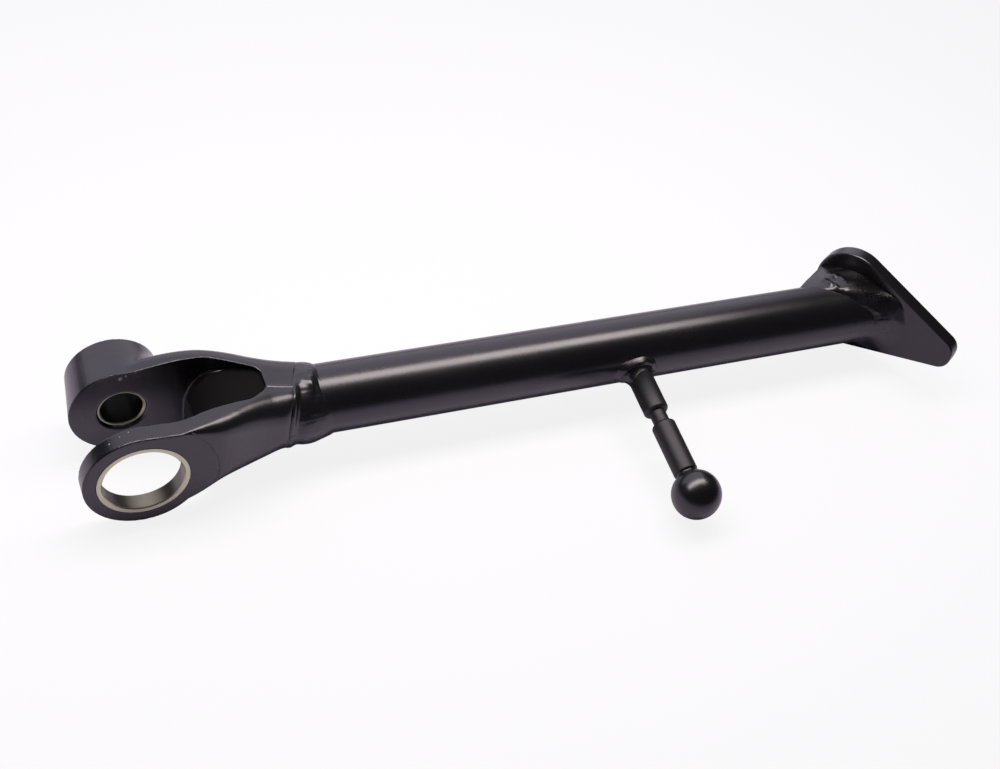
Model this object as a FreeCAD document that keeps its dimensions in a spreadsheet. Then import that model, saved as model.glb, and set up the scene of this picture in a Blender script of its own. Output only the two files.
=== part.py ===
import FreeCAD, Part
import math
import os
import re
import Sketcher

# Side stand leg of a motorcycle, lying on its side as it lies on a bench.
# Origin on the pivot axis where the leg's own axis crosses it, +X along the leg to the foot,
# +Y along the pivot axis from the large eye to the small one, +Z up, millimetres.

SIZES = (
    ("tube_diameter", 28.0, "leg tube, outside"),
    ("tube_wall", 2.5, "leg tube, wall"),
    ("tube_start", 68.0, "leg tube, upper end from the pivot axis"),
    ("foot_distance", 331.0, "pivot axis to the foot plate's inner face, along the leg"),
    ("foot_tilt", 31.7, "foot plate's lean from square to the leg, degrees"),
    ("near_face", 25.7, "leg axis to the large eye's machined outer face"),
    ("near_ear_thickness", 7.0, "large eye, thickness"),
    ("near_ear_radius", 22.0, "large eye, outside radius"),
    ("ear_gap", 29.1, "clear width between the two ears"),
    ("far_ear_radius", 20.0, "boss of the small eye, radius at its inner face"),
    ("far_ear_length", 21.4, "boss of the small eye, length along the pivot axis"),
    ("boss_draft", 7.0, "boss of the small eye, draft in degrees"),
    ("boss_blend", 11.0, "hollow blend between that boss and the far arm"),
    ("large_bush_bore", 30.0, "large bush, bore"),
    ("large_bush_wall", 2.0, "large bush, wall"),
    ("small_bush_bore", 16.0, "small bush, bore"),
    ("small_bush_wall", 1.0, "small bush, wall"),
    ("small_bush_recess", 1.2, "small bush, set back from both ends of its eye"),
    ("bush_chamfer", 0.4, "lead-in at the ends of both bushes"),
    ("eye_countersink", 0.9, "countersink at the inner end of the small eye"),
    ("spot_face_radius", 27.4, "machined face round the large eye, radius"),
    ("spot_face_step", 0.35, "machined face, depth below the forged side"),
    ("throat_wall", 23.5, "pivot axis to the end wall of the slot between the ears"),
    ("throat_radius", 17.0, "rounding from the slot's end wall to the recess floor"),
    ("recess_floor", 16.4, "leg axis to the floor of the recess"),
    ("recess_end", 50.4, "pivot axis to the closed end of the recess"),
    ("recess_end_far", 4.4, "closed end of the recess, far corner from the leg axis"),
    ("recess_end_near", 6.0, "closed end of the recess, near corner from the leg axis"),
    ("recess_bend_far", 30.5, "start of the recess's taper on the far arm"),
    ("recess_bend_near", 16.5, "start of the recess's taper on the near arm"),
    ("recess_heel_x", 43.0, "heel of the recess on the near arm, from the pivot axis"),
    ("recess_heel_y", 12.0, "heel of the recess on the near arm, from the leg axis"),
    ("near_bend_round", 22.0, "rounding of the recess where the near arm starts to taper"),
    ("near_heel_round", 9.0, "rounding of the recess at its heel"),
    ("near_end_round", 4.5, "rounding of the recess's closed end, near corner"),
    ("far_end_round", 4.0, "rounding of the recess's closed end, far corner"),
    ("far_bend_round", 16.0, "rounding of the recess where the far arm starts to taper"),
    ("spigot_length", 24.0, "spigot of the head inside the tube, from the shoulder"),
    ("spigot_root", 10.0, "spigot, start inside the forging before the shoulder"),
    ("spigot_chamfer", 2.0, "spigot, end chamfer"),
    ("weld_offset", 0.75, "head weld, sag off the leg axis in Y and in Z"),
    ("shoulder_tilt", 19.0, "end face of the head, lean from square to the leg, degrees"),
    ("weld_root", 3.0, "head weld, blank's depth below the tube's bore"),
    ("weld_groove_rise", 1.4, "head weld, height over the tube in the groove by the shoulder"),
    ("weld_groove_half", 1.2, "head weld, half width of the groove's side by the shoulder"),
    ("weld_crown_rise", 1.9, "head weld, height of its crown over the tube"),
    ("weld_crown_start", 3.6, "head weld, shoulder to the start of its crown"),
    ("weld_crown_end", 1.8, "head weld, tube's end to the end of its crown"),
    ("weld_crown_fall", 0.4, "head weld, fall along its crown"),
    ("weld_run_out_rise", 0.7, "head weld, height half way along its run-out"),
    ("weld_toe_drop", 1.1, "head weld, depth of its end under the tube's surface"),
    ("weld_overlap", 9.6, "head weld, reach over the tube's end"),
    ("plate_thickness", 7.0, "foot plate, thickness"),
    ("plate_tip", 46.0, "foot plate, leg axis to the narrow end"),
    ("plate_heel", 26.0, "foot plate, leg axis to the wide end"),
    ("plate_tip_half", 5.9, "foot plate, half width at the narrow end's corners"),
    ("plate_heel_half", 31.8, "foot plate, half width at the wide end's corners"),
    ("plate_tip_round", 6.8, "foot plate, corner radius at the narrow end"),
    ("plate_heel_round", 17.0, "foot plate, corner radius at the wide end"),
    ("plate_edge", 0.8, "foot plate, broken edge"),
    ("flare_radius", 24.5, "foot weld, radius where it meets the plate"),
    ("flare_shift", 2.0, "foot weld, shift of that circle towards the wide end"),
    ("flare_margin", 1.3, "foot weld, clear rim left on the plate"),
    ("flare_lip", 0.3, "foot weld, height of its toe on the tube"),
    ("flare_start", 19.0, "foot weld, reach up the leg from the plate"),
    ("flare_start_tilt", 49.0, "foot weld, lean of its toe on the tube, degrees"),
    ("flare_middle", 8.5, "foot weld, place of its waist above the plate"),
    ("flare_middle_rise", 2.0, "foot weld, height of its waist over the tube, in front"),
    ("flare_heel_rise", 5.9, "foot weld, height of its waist over the tube, behind"),
    ("flare_side_rise", 1.8, "foot weld, height of its waist over the tube, at both sides"),
    ("flare_middle_tilt", 41.0, "foot weld, lean of its waist, degrees"),
    ("peg_place", 209.8, "spring peg's axis from the pivot axis"),
    ("peg_lean", 8.5, "spring peg's drop from the pivot direction, degrees"),
    ("peg_depth", 3.5, "spring peg, reach below the tube's surface"),
    ("peg_base_diameter", 10.6, "spring peg, shank"),
    ("peg_base_end", 34.4, "spring peg, leg axis to the groove"),
    ("peg_groove_diameter", 6.9, "spring peg, groove floor"),
    ("peg_groove_width", 5.8, "spring peg, groove"),
    ("peg_pin_diameter", 10.2, "spring peg, pin between groove and ball"),
    ("peg_pin_length", 25.0, "spring peg, pin length"),
    ("peg_edge", 0.9, "spring peg, chamfer beside the groove"),
    ("peg_ball_edge", 0.5, "spring peg, chamfer beside the ball"),
    ("peg_neck_diameter", 9.0, "spring peg, neck under the ball"),
    ("ball_diameter", 20.6, "ball at the end of the spring peg"),
    ("ball_distance", 75.3, "leg axis to the ball's centre"),
    ("bead_radius", 5.5, "peg weld, hollow of the bead"),
    ("bead_toe", 0.3, "peg weld, height of its toe"),
    ("bead_reach", 11.0, "peg weld, reach round the peg"),
    ("bead_rise", 6.4, "peg weld, reach up the peg from the tube"),
    ("bead_shift", 1.5, "peg weld, shift of that reach towards the head"),
    ("bead_drop", 1.4, "peg weld, drop of that reach below the peg's axis"),
)

# Cross-sections of the forged head: place along the leg, then near side, far side, top and
# bottom measured from the leg axis, then the corner radii near-top, near-bottom, far-top and
# far-bottom.
STATION_FIELDS = ("place", "near", "far", "top", "bottom",
                  "near_top", "near_bottom", "far_top", "far_bottom")
STATIONS = (
    ("pivot", (0.0, 26.05, 19.6, 19.2, 19.6, 0.8, 1.2, 8.0, 8.0)),
    ("ear_root", (13.5, 26.05, 19.6, 21.4, 17.6, 0.8, 4.0, 6.5, 7.0)),
    ("arm", (21.0, 26.05, 19.7, 22.3, 16.9, 2.6, 8.2, 7.5, 8.5)),
    ("fork", (29.0, 25.8, 19.4, 22.3, 15.9, 5.2, 14.5, 8.0, 9.5)),
    ("taper", (38.0, 22.8, 18.3, 21.0, 15.3, 7.2, 14.8, 8.8, 11.0)),
    ("crotch", (48.0, 19.3, 16.5, 18.6, 15.0, 8.8, 14.5, 9.8, 12.5)),
    ("shoulder", (63.0, 17.4, 15.4, 15.0, 15.3, 9.0, 13.6, 12.5, 13.0)),
)

FAR_FACE = "(ear_gap - near_face + near_ear_thickness)"
INNER_NEAR = "(near_face - near_ear_thickness)"
TUBE_RADIUS = "(tube_diameter / 2)"
TUBE_BORE_RADIUS = "(tube_diameter / 2 - tube_wall)"
LARGE_BUSH_RADIUS = "(large_bush_bore / 2 + large_bush_wall)"
SMALL_BUSH_RADIUS = "(small_bush_bore / 2 + small_bush_wall)"
CLEAR = 60.0          # reach of cutting solids past the part
HEAD_CUT_DEPTH = 9.0  # reach of the spot face cut past the forged side

X_AXIS = FreeCAD.Vector(1, 0, 0)
Y_AXIS = FreeCAD.Vector(0, 1, 0)
Z_AXIS = FreeCAD.Vector(0, 0, 1)
ORIGIN = FreeCAD.Vector(0, 0, 0)

doc = FreeCAD.newDocument("side_stand")
sheet = doc.addObject("Spreadsheet::Sheet", "Sizes")


def fill_sheet():
    """Write every driving dimension in the sheet, with its alias and a note."""
    rows = list(SIZES)
    for station, numbers in STATIONS:
        for field, number in zip(STATION_FIELDS, numbers):
            rows.append((station + "_" + field, number, "head section " + station + ", " + field))
    for row, (alias, number, note) in enumerate(rows, start=1):
        sheet.set("A%d" % row, note)
        sheet.set("B%d" % row, str(number))
        sheet.setAlias("B%d" % row, alias)
    doc.recompute()
    return {alias for alias, number, note in rows}


ALIASES = fill_sheet()


def bound(text):
    """The expression as other objects write it, with each alias named on its sheet."""
    def name(match):
        word = match.group()
        return "Sizes." + word if word in ALIASES else word
    return re.sub(r"[a-z][a-z_]*", name, str(text))


def value(text):
    """The number that an expression has now."""
    return float(sheet.evalExpression(bound(text)))


def body(label):
    part = doc.addObject("PartDesign::Body", label)
    part.Label = label
    return part


def sketch(owner, name, role, offset="0", tilt=None, about=X_AXIS):
    """A sketch on one of the body's own origin planes, moved along its normal."""
    flat = owner.newObject("Sketcher::SketchObject", name)
    plane = [f for f in owner.Origin.OriginFeatures if f.Role == role][0]
    flat.AttachmentSupport = [(plane, "")]
    flat.MapMode = "FlatFace"
    turn = FreeCAD.Rotation(about, value(tilt) if tilt else 0.0)
    flat.AttachmentOffset = FreeCAD.Placement(FreeCAD.Vector(0, 0, value(offset)), turn)
    if offset != "0":
        flat.setExpression("AttachmentOffset.Base.z", bound(offset))
    if tilt:
        flat.setExpression("AttachmentOffset.Rotation.Angle", bound(tilt))
    return flat


def hold(flat, kind, geometry, text, point=1):
    """Tie a point's distance from the sketch's origin to an expression."""
    if str(text) == "0":
        axis = -2 if kind == "DistanceX" else -1
        flat.addConstraint(Sketcher.Constraint("PointOnObject", geometry, point, axis))
        return
    index = flat.addConstraint(Sketcher.Constraint(kind, -1, 1, geometry, point, value(text)))
    flat.setExpression("Constraints[%d]" % index, bound(text))


def hold_radius(flat, geometry, text):
    index = flat.addConstraint(Sketcher.Constraint("Radius", geometry, value(text)))
    flat.setExpression("Constraints[%d]" % index, bound(text))


def polygon(flat, corners):
    """A closed outline of straight lines through corners given as expressions."""
    points = [FreeCAD.Vector(value(x), value(y), 0) for x, y in corners]
    lines = []
    for start, end in zip(points, points[1:] + points[:1]):
        lines.append(flat.addGeometry(Part.LineSegment(start, end), False))
    for line, following in zip(lines, lines[1:] + lines[:1]):
        flat.addConstraint(Sketcher.Constraint("Coincident", line, 2, following, 1))
    for line, (x, y) in zip(lines, corners):
        hold(flat, "DistanceX", line, x)
        hold(flat, "DistanceY", line, y)
    return lines


def circle(flat, radius, x="0", y="0"):
    centre = FreeCAD.Vector(value(x), value(y), 0)
    ring = flat.addGeometry(Part.Circle(centre, Z_AXIS, value(radius)), False)
    hold(flat, "DistanceX", ring, x, 3)
    hold(flat, "DistanceY", ring, y, 3)
    hold_radius(flat, ring, radius)
    return ring


def smooth_joint(flat, first, first_end, second, second_end):
    flat.addConstraint(Sketcher.Constraint("Tangent", first, first_end, second, second_end))


def head_section(owner, station):
    """One cross-section of the head: a box with a radius of its own at each corner."""
    field = {name: station + "_" + name for name in STATION_FIELDS}
    tilt = "shoulder_tilt" if station == "shoulder" else None
    flat = sketch(owner, "Section_" + station, "YZ_Plane", field["place"], tilt, -Y_AXIS)
    near, far = -value(field["near"]), value(field["far"])
    top, bottom = value(field["top"]), -value(field["bottom"])
    corners = (
        (far, bottom, -1, 1, -90, field["far_bottom"]),
        (far, top, -1, -1, 0, field["far_top"]),
        (near, top, 1, -1, 90, field["near_top"]),
        (near, bottom, 1, 1, 180, field["near_bottom"]),
    )
    arcs = []
    for x, y, towards_x, towards_y, start, radius_name in corners:
        radius = value(radius_name)
        centre = FreeCAD.Vector(x + towards_x * radius, y + towards_y * radius, 0)
        round_corner = Part.Circle(centre, Z_AXIS, radius)
        arc = Part.ArcOfCircle(round_corner, math.radians(start), math.radians(start + 90))
        arcs.append((flat.addGeometry(arc, False), arc))
    sides = []
    for (index, arc), (next_index, next_arc) in zip(arcs, arcs[1:] + arcs[:1]):
        side = flat.addGeometry(Part.LineSegment(arc.EndPoint, next_arc.StartPoint), False)
        smooth_joint(flat, index, 2, side, 1)
        smooth_joint(flat, side, 2, next_index, 1)
        sides.append(side)
    far_side, top_side, near_side, bottom_side = sides
    for side, direction in ((far_side, "Vertical"), (near_side, "Vertical"),
                            (top_side, "Horizontal"), (bottom_side, "Horizontal")):
        flat.addConstraint(Sketcher.Constraint(direction, side))
    hold(flat, "DistanceX", far_side, field["far"])
    hold(flat, "DistanceX", near_side, "-" + field["near"])
    hold(flat, "DistanceY", top_side, field["top"])
    hold(flat, "DistanceY", bottom_side, "-" + field["bottom"])
    for (index, arc), corner in zip(arcs, corners):
        hold_radius(flat, index, corner[5])
    return flat


def pad(owner, name, flat, length, reverse=False, both=False):
    feature = owner.newObject("PartDesign::Pad", name)
    feature.Profile = flat
    feature.Length = value(length)
    feature.setExpression("Length", bound(length))
    feature.Reversed = reverse
    feature.Midplane = both
    doc.recompute()
    return feature


def pocket(owner, name, flat, length, reverse=False, both=False):
    """A cut that has to take material away, or the build stops."""
    before = owner.Shape.Volume
    feature = owner.newObject("PartDesign::Pocket", name)
    feature.Profile = flat
    feature.Length = value(length)
    feature.setExpression("Length", bound(length))
    feature.Reversed = reverse
    feature.Midplane = both
    doc.recompute()
    if not owner.Shape.Volume < before:
        raise RuntimeError(name + " cuts nothing")
    return feature


def revolution(owner, name, flat, axis):
    feature = owner.newObject("PartDesign::Revolution", name)
    feature.Profile = flat
    feature.ReferenceAxis = (flat, [axis])
    feature.Angle = 360.0
    doc.recompute()
    return feature


def dress(owner, kind, name, base, edges, size_name):
    """A fillet or chamfer on the chosen edges of the feature before it."""
    feature = owner.newObject("PartDesign::" + kind, name)
    feature.Base = (base, edges)
    size_property = "Radius" if kind == "Fillet" else "Size"
    setattr(feature, size_property, value(size_name))
    feature.setExpression(size_property, bound(size_name))
    doc.recompute()
    return feature


def edges_where(shape, test):
    return ["Edge%d" % number for number, edge in enumerate(shape.Edges, start=1) if test(edge)]


def round_edges(shape, axis, radius_text, place_text):
    """The full circles of one radius about a main axis, at one place along it."""
    radius, place = value(radius_text), value(place_text)

    def test(edge):
        curve = edge.Curve
        if not isinstance(curve, Part.Circle):
            return False
        on_place = abs(curve.Center.dot(axis) - place) < 1e-3
        return on_place and abs(curve.Radius - radius) < 1e-3
    return edges_where(shape, test)


def boss_seam(shape):
    """The edges where the drafted boss runs into the far arm."""
    cone = [face for face in shape.Faces if isinstance(face.Surface, Part.Cone)][0]

    def test(edge):
        on_cone = any(edge.isSame(other) for other in cone.Edges)
        return on_cone and not isinstance(edge.Curve, (Part.Circle, Part.Line))
    return edges_where(shape, test)


def upright_edges_near(shape, x, y, reach=0.5):
    """Edges along Z whose foot lies at one corner of a plan outline."""
    def test(edge):
        start, end = edge.Vertexes[0].Point, edge.Vertexes[-1].Point
        upright = (end - start).cross(Z_AXIS).Length < 1e-6
        return upright and math.hypot(start.x - x, start.y - y) < reach
    return edges_where(shape, test)


def make_slot_cutter():
    """The space between the ears: a slot that runs out in a tapered recess with a floor."""
    cutter = body("slot_cutter")
    plan = sketch(cutter, "Slot_plan", "XY_Plane")
    corners = (
        (str(-CLEAR), FAR_FACE),
        (str(-CLEAR), "-" + INNER_NEAR),
        ("recess_bend_near", "-" + INNER_NEAR),
        ("recess_heel_x", "-recess_heel_y"),
        ("recess_end", "-recess_end_near"),
        ("recess_end", "recess_end_far"),
        ("recess_bend_far", FAR_FACE),
    )
    polygon(plan, corners)
    feature = pad(cutter, "Slot_prism", plan, str(2 * CLEAR), both=True)
    rounds = ((2, "near_bend_round"), (3, "near_heel_round"), (4, "near_end_round"),
              (5, "far_end_round"), (6, "far_bend_round"))
    for corner, radius in rounds:
        x, y = value(corners[corner][0]), value(corners[corner][1])
        edges = upright_edges_near(feature.Shape, x, y)
        feature = dress(cutter, "Fillet", "Slot_" + radius, feature, edges, radius)
    web = sketch(cutter, "Web_profile", "XZ_Plane")
    wall, floor, radius = value("throat_wall"), value("recess_floor"), value("throat_radius")
    centre = FreeCAD.Vector(wall + radius, floor - radius, 0)
    arc = Part.ArcOfCircle(Part.Circle(centre, Z_AXIS, radius), math.pi / 2, math.pi)
    low = FreeCAD.Vector(wall, -CLEAR, 0)
    low_end = FreeCAD.Vector(wall + CLEAR, -CLEAR, 0)
    floor_end = FreeCAD.Vector(wall + CLEAR, floor, 0)
    chain = [web.addGeometry(piece, False) for piece in (
        arc,
        Part.LineSegment(arc.EndPoint, low),
        Part.LineSegment(low, low_end),
        Part.LineSegment(low_end, floor_end),
        Part.LineSegment(floor_end, arc.StartPoint),
    )]
    rounding, wall_line, bottom_line, end_line, floor_line = chain
    smooth_joint(web, rounding, 2, wall_line, 1)
    smooth_joint(web, floor_line, 2, rounding, 1)
    for first, second in ((wall_line, bottom_line), (bottom_line, end_line),
                          (end_line, floor_line)):
        web.addConstraint(Sketcher.Constraint("Coincident", first, 2, second, 1))
    for line, direction in ((wall_line, "Vertical"), (bottom_line, "Horizontal"),
                            (end_line, "Vertical"), (floor_line, "Horizontal")):
        web.addConstraint(Sketcher.Constraint(direction, line))
    hold(web, "DistanceX", bottom_line, "throat_wall")
    hold(web, "DistanceY", bottom_line, str(-CLEAR))
    hold(web, "DistanceX", end_line, "throat_wall + %g" % CLEAR)
    hold(web, "DistanceY", floor_line, "recess_floor")
    hold_radius(web, rounding, "throat_radius")
    pocket(cutter, "Web", web, str(2 * CLEAR), both=True)
    return cutter


def make_fork_head(cutter):
    """The forged and machined head with its two ears and the spigot for the tube."""
    head = body("fork_head")
    sections = [head_section(head, name) for name, numbers in STATIONS]
    doc.recompute()
    flare = head.newObject("PartDesign::AdditiveLoft", "Flare")
    flare.Profile = sections[0]
    flare.Sections = sections[1:]
    doc.recompute()

    near_disc = sketch(head, "Near_disc", "XZ_Plane", INNER_NEAR)
    circle(near_disc, "near_ear_radius")
    pad(head, "Near_eye", near_disc, "near_ear_thickness")
    near_arm = sketch(head, "Near_arm_side", "XZ_Plane", INNER_NEAR)
    polygon(near_arm, (
        ("0", "near_ear_radius"),
        ("0", "0"),
        ("ear_root_place", "0"),
        ("ear_root_place", "ear_root_top"),
    ))
    pad(head, "Near_arm", near_arm, "near_ear_thickness")

    boss = sketch(head, "Boss_profile", "XY_Plane")
    back = FAR_FACE + " + far_ear_length"
    polygon(boss, (
        ("0", FAR_FACE),
        ("far_ear_radius", FAR_FACE),
        ("far_ear_radius - far_ear_length * tan(boss_draft * 1 deg)", back),
        ("0", back),
    ))
    revolution(head, "Boss", boss, "V_Axis")

    spigot = sketch(head, "Spigot_profile", "XY_Plane")
    shoulder_end = "shoulder_place + spigot_length"
    polygon(spigot, (
        ("shoulder_place - spigot_root", "0"),
        (shoulder_end, "0"),
        (shoulder_end, TUBE_BORE_RADIUS + " - spigot_chamfer"),
        (shoulder_end + " - spigot_chamfer", TUBE_BORE_RADIUS),
        ("shoulder_place - spigot_root", TUBE_BORE_RADIUS),
    ))
    revolution(head, "Spigot", spigot, "H_Axis")

    slot = head.newObject("PartDesign::Boolean", "Slot")
    slot.Type = "Cut"
    slot.setObjects([cutter])
    doc.recompute()

    spot = sketch(head, "Spot_face_circle", "XZ_Plane", "near_face")
    circle(spot, "spot_face_radius")
    pocket(head, "Spot_face", spot, str(HEAD_CUT_DEPTH), reverse=True)

    large = sketch(head, "Large_eye_circle", "XZ_Plane", "near_face")
    circle(large, LARGE_BUSH_RADIUS)
    pocket(head, "Large_eye", large, "near_ear_thickness + 1")

    small = sketch(head, "Small_eye_circle", "XZ_Plane", "-" + FAR_FACE)
    circle(small, SMALL_BUSH_RADIUS)
    small_eye = pocket(head, "Small_eye", small, "far_ear_length + 1")

    blend = dress(head, "Fillet", "Boss_blend", small_eye, boss_seam(small_eye.Shape), "boss_blend")
    rims = round_edges(blend.Shape, Y_AXIS, SMALL_BUSH_RADIUS, FAR_FACE)
    dress(head, "Chamfer", "Small_eye_countersink", blend, rims, "eye_countersink")
    return head


def make_bush(label, bore, wall, start, length):
    """A plain sleeve on the pivot axis, chamfered inside at both ends."""
    bush = body(label)
    ring = sketch(bush, label + "_ring", "XZ_Plane", start)
    circle(ring, "%s / 2" % bore)
    circle(ring, "%s / 2 + %s" % (bore, wall))
    sleeve = pad(bush, label + "_sleeve", ring, length)
    radius = value("%s / 2" % bore)
    rims = edges_where(sleeve.Shape, lambda edge: isinstance(edge.Curve, Part.Circle)
                       and abs(edge.Curve.Radius - radius) < 1e-6)
    dress(bush, "Chamfer", label + "_lead_in", sleeve, rims, "bush_chamfer")
    return bush


def make_leg_tube():
    """The tube, cut square at the head, mitred at the foot and drilled for the peg."""
    tube = body("leg_tube")
    ring = sketch(tube, "Tube_ring", "YZ_Plane", "tube_start")
    circle(ring, TUBE_RADIUS)
    circle(ring, TUBE_BORE_RADIUS)
    pad(tube, "Tube_length", ring, "foot_distance - tube_start + tube_diameter")
    mitre = sketch(tube, "Mitre_side", "XY_Plane")
    slope = "tan(foot_tilt * 1 deg)"
    polygon(mitre, (
        ("foot_distance - tube_diameter * " + slope, "tube_diameter"),
        ("foot_distance + tube_diameter * " + slope, "-tube_diameter"),
        ("foot_distance + 3 * tube_diameter", "-tube_diameter"),
        ("foot_distance + 3 * tube_diameter", "tube_diameter"),
    ))
    pocket(tube, "Mitre", mitre, "2 * tube_diameter", both=True)
    hole = sketch(tube, "Peg_hole_circle", "XZ_Plane", "0", tilt="peg_lean")
    circle(hole, "peg_base_diameter / 2", "peg_place")
    pocket(tube, "Peg_hole", hole, "tube_diameter", reverse=True)
    return tube


def make_head_weld():
    """The bead between head and tube: a little off centre, thicker below and in front."""
    weld = body("head_weld")
    weld.Placement = FreeCAD.Placement(
        FreeCAD.Vector(0, -value("weld_offset"), -value("weld_offset")), FreeCAD.Rotation())
    weld.setExpression("Placement.Base.y", bound("-weld_offset"))
    weld.setExpression("Placement.Base.z", bound("-weld_offset"))
    profile = sketch(weld, "Bead_profile", "XY_Plane")
    root = TUBE_BORE_RADIUS + " - weld_root"
    groove = TUBE_RADIUS + " + weld_groove_rise"
    crown = TUBE_RADIUS + " + weld_crown_rise"
    blank_start = "shoulder_place - spigot_root"
    polygon(profile, (
        (blank_start, root),
        (blank_start, groove),
        ("shoulder_place - weld_groove_half", groove),
        ("shoulder_place + weld_groove_half", crown + " - weld_crown_fall / 2"),
        ("shoulder_place + weld_crown_start", crown),
        ("tube_start + weld_crown_end", crown + " - weld_crown_fall"),
        ("tube_start + weld_overlap / 2", TUBE_RADIUS + " + weld_run_out_rise"),
        ("tube_start + weld_overlap", TUBE_RADIUS + " - weld_toe_drop"),
        ("tube_start + weld_overlap", root),
    ))
    revolution(weld, "Bead", profile, "H_Axis")
    inside = sketch(weld, "Spigot_circle", "YZ_Plane", blank_start)
    circle(inside, TUBE_BORE_RADIUS, "weld_offset", "weld_offset")
    pocket(weld, "Spigot_room", inside, "3 * weld_overlap", reverse=True)
    outside = sketch(weld, "Tube_circle", "YZ_Plane", "tube_start")
    circle(outside, TUBE_RADIUS, "weld_offset", "weld_offset")
    pocket(weld, "Tube_room", outside, "2 * weld_overlap", reverse=True)
    face = sketch(weld, "Shoulder_side", "XY_Plane")
    slope = "tan(shoulder_tilt * 1 deg)"
    polygon(face, (
        ("shoulder_place - (tube_diameter + weld_offset) * " + slope, "-tube_diameter"),
        ("shoulder_place + (tube_diameter - weld_offset) * " + slope, "tube_diameter"),
        ("shoulder_place - 2 * tube_diameter", "tube_diameter"),
        ("shoulder_place - 2 * tube_diameter", "-tube_diameter"),
    ))
    pocket(weld, "Shoulder_face", face, "2 * tube_diameter", both=True)
    return weld


def plate_prism(owner, name, margin, length, reverse):
    """The plate's outline, drawn in by a margin, as a prism with rounded corners."""
    inset = " - (%s)" % margin
    outline = sketch(owner, name + "_outline", "YZ_Plane")
    polygon(outline, (
        ("plate_heel" + inset, "plate_heel_half" + inset),
        ("plate_heel" + inset, "-(plate_heel_half" + inset + ")"),
        ("-(plate_tip" + inset + ")", "-(plate_tip_half" + inset + ")"),
        ("-(plate_tip" + inset + ")", "plate_tip_half" + inset),
    ))
    slab = pad(owner, name + "_slab", outline, length, reverse)

    def corners_at(shape, y_text):
        y = value(y_text)
        return edges_where(shape, lambda edge: all(
            abs(vertex.Point.y - y) < 1e-6 for vertex in edge.Vertexes)
            and abs(edge.Vertexes[0].Point.x - edge.Vertexes[-1].Point.x) > 1e-3)
    heel = dress(owner, "Fillet", name + "_heel_corners", slab,
                 corners_at(slab.Shape, "plate_heel" + inset), "plate_heel_round" + inset)
    return dress(owner, "Fillet", name + "_tip_corners", heel,
                 corners_at(heel.Shape, "-(plate_tip" + inset + ")"), "plate_tip_round" + inset)


def make_foot_plate():
    """The plate that stands on the ground, broad behind the leg and narrow in front."""
    plate = body("foot_plate")
    plate.Placement = FreeCAD.Placement(
        FreeCAD.Vector(value("foot_distance"), 0, 0),
        FreeCAD.Rotation(Z_AXIS, value("foot_tilt")))
    plate.setExpression("Placement.Base.x", bound("foot_distance"))
    plate.setExpression("Placement.Rotation.Angle", bound("foot_tilt"))
    tip = plate_prism(plate, "Plate", "0", "plate_thickness", False)
    rim = edges_where(tip.Shape, lambda edge: abs(
        edge.Vertexes[0].Point.x - edge.Vertexes[-1].Point.x) < 1e-6)
    dress(plate, "Fillet", "Broken_edge", tip, rim, "plate_edge")
    return plate


def ellipse_on_leg(name, place, side, tilt, long_radius, short_radius):
    """An ellipse round the leg, leaning like the foot, its centre moved along its lean."""
    ring = doc.addObject("Part::Ellipse", name)
    ring.setExpression("MajorRadius", bound(long_radius))
    ring.setExpression("MinorRadius", bound(short_radius))
    ring.setExpression("Placement", bound(
        "create(<<placement>>; create(<<vector>>; %s; 0; 0);"
        " create(<<rotation>>; create(<<vector>>; 0; 0; 1); %s))"
        " * create(<<placement>>; create(<<vector>>; 0; %s; 0);"
        " create(<<rotation>>; create(<<vector>>; 1; 1; 1); 120))" % (place, tilt, side)))
    return ring


def make_foot_weld():
    """The long smooth fillet that carries the tube out to the plate."""
    lip = "(tube_diameter / 2 + flare_lip)"
    half_spread = "((flare_heel_rise - flare_middle_rise) / 2)"
    waist = "(tube_diameter / 2 + flare_middle_rise + %s)" % half_spread
    start = ellipse_on_leg("Flare_start", "foot_distance - flare_start", "0",
                           "flare_start_tilt",
                           lip + " / cos(flare_start_tilt * 1 deg)", lip)
    middle = ellipse_on_leg("Flare_waist", "foot_distance - flare_middle",
                            half_spread + " / cos(flare_middle_tilt * 1 deg)",
                            "flare_middle_tilt",
                            waist + " / cos(flare_middle_tilt * 1 deg)",
                            "tube_diameter / 2 + flare_side_rise")
    end = ellipse_on_leg("Flare_end", "foot_distance", "flare_shift", "foot_tilt",
                         "flare_radius", "flare_radius")
    loft = doc.addObject("Part::Loft", "Flare_body")
    loft.Sections = [start, middle, end]
    loft.Solid = True
    rim = body("Flare_rim")
    rim.Placement = FreeCAD.Placement(
        FreeCAD.Vector(value("foot_distance"), 0, 0),
        FreeCAD.Rotation(Z_AXIS, value("foot_tilt")))
    rim.setExpression("Placement.Base.x", bound("foot_distance"))
    rim.setExpression("Placement.Rotation.Angle", bound("foot_tilt"))
    plate_prism(rim, "Flare_rim", "flare_margin", "4 * plate_thickness", True)
    kept = doc.addObject("Part::Common", "Flare_on_plate")
    kept.Base = loft
    kept.Tool = rim
    core = doc.addObject("Part::Cylinder", "Flare_core")
    core.setExpression("Radius", bound(TUBE_RADIUS))
    core.setExpression("Height", bound("foot_distance + 3 * tube_diameter"))
    core.Placement = FreeCAD.Placement(ORIGIN, FreeCAD.Rotation(Y_AXIS, 90))
    weld = doc.addObject("Part::Cut", "foot_weld")
    weld.Base = kept
    weld.Tool = core
    weld.Label = "foot_weld"
    doc.recompute()
    return weld


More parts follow.
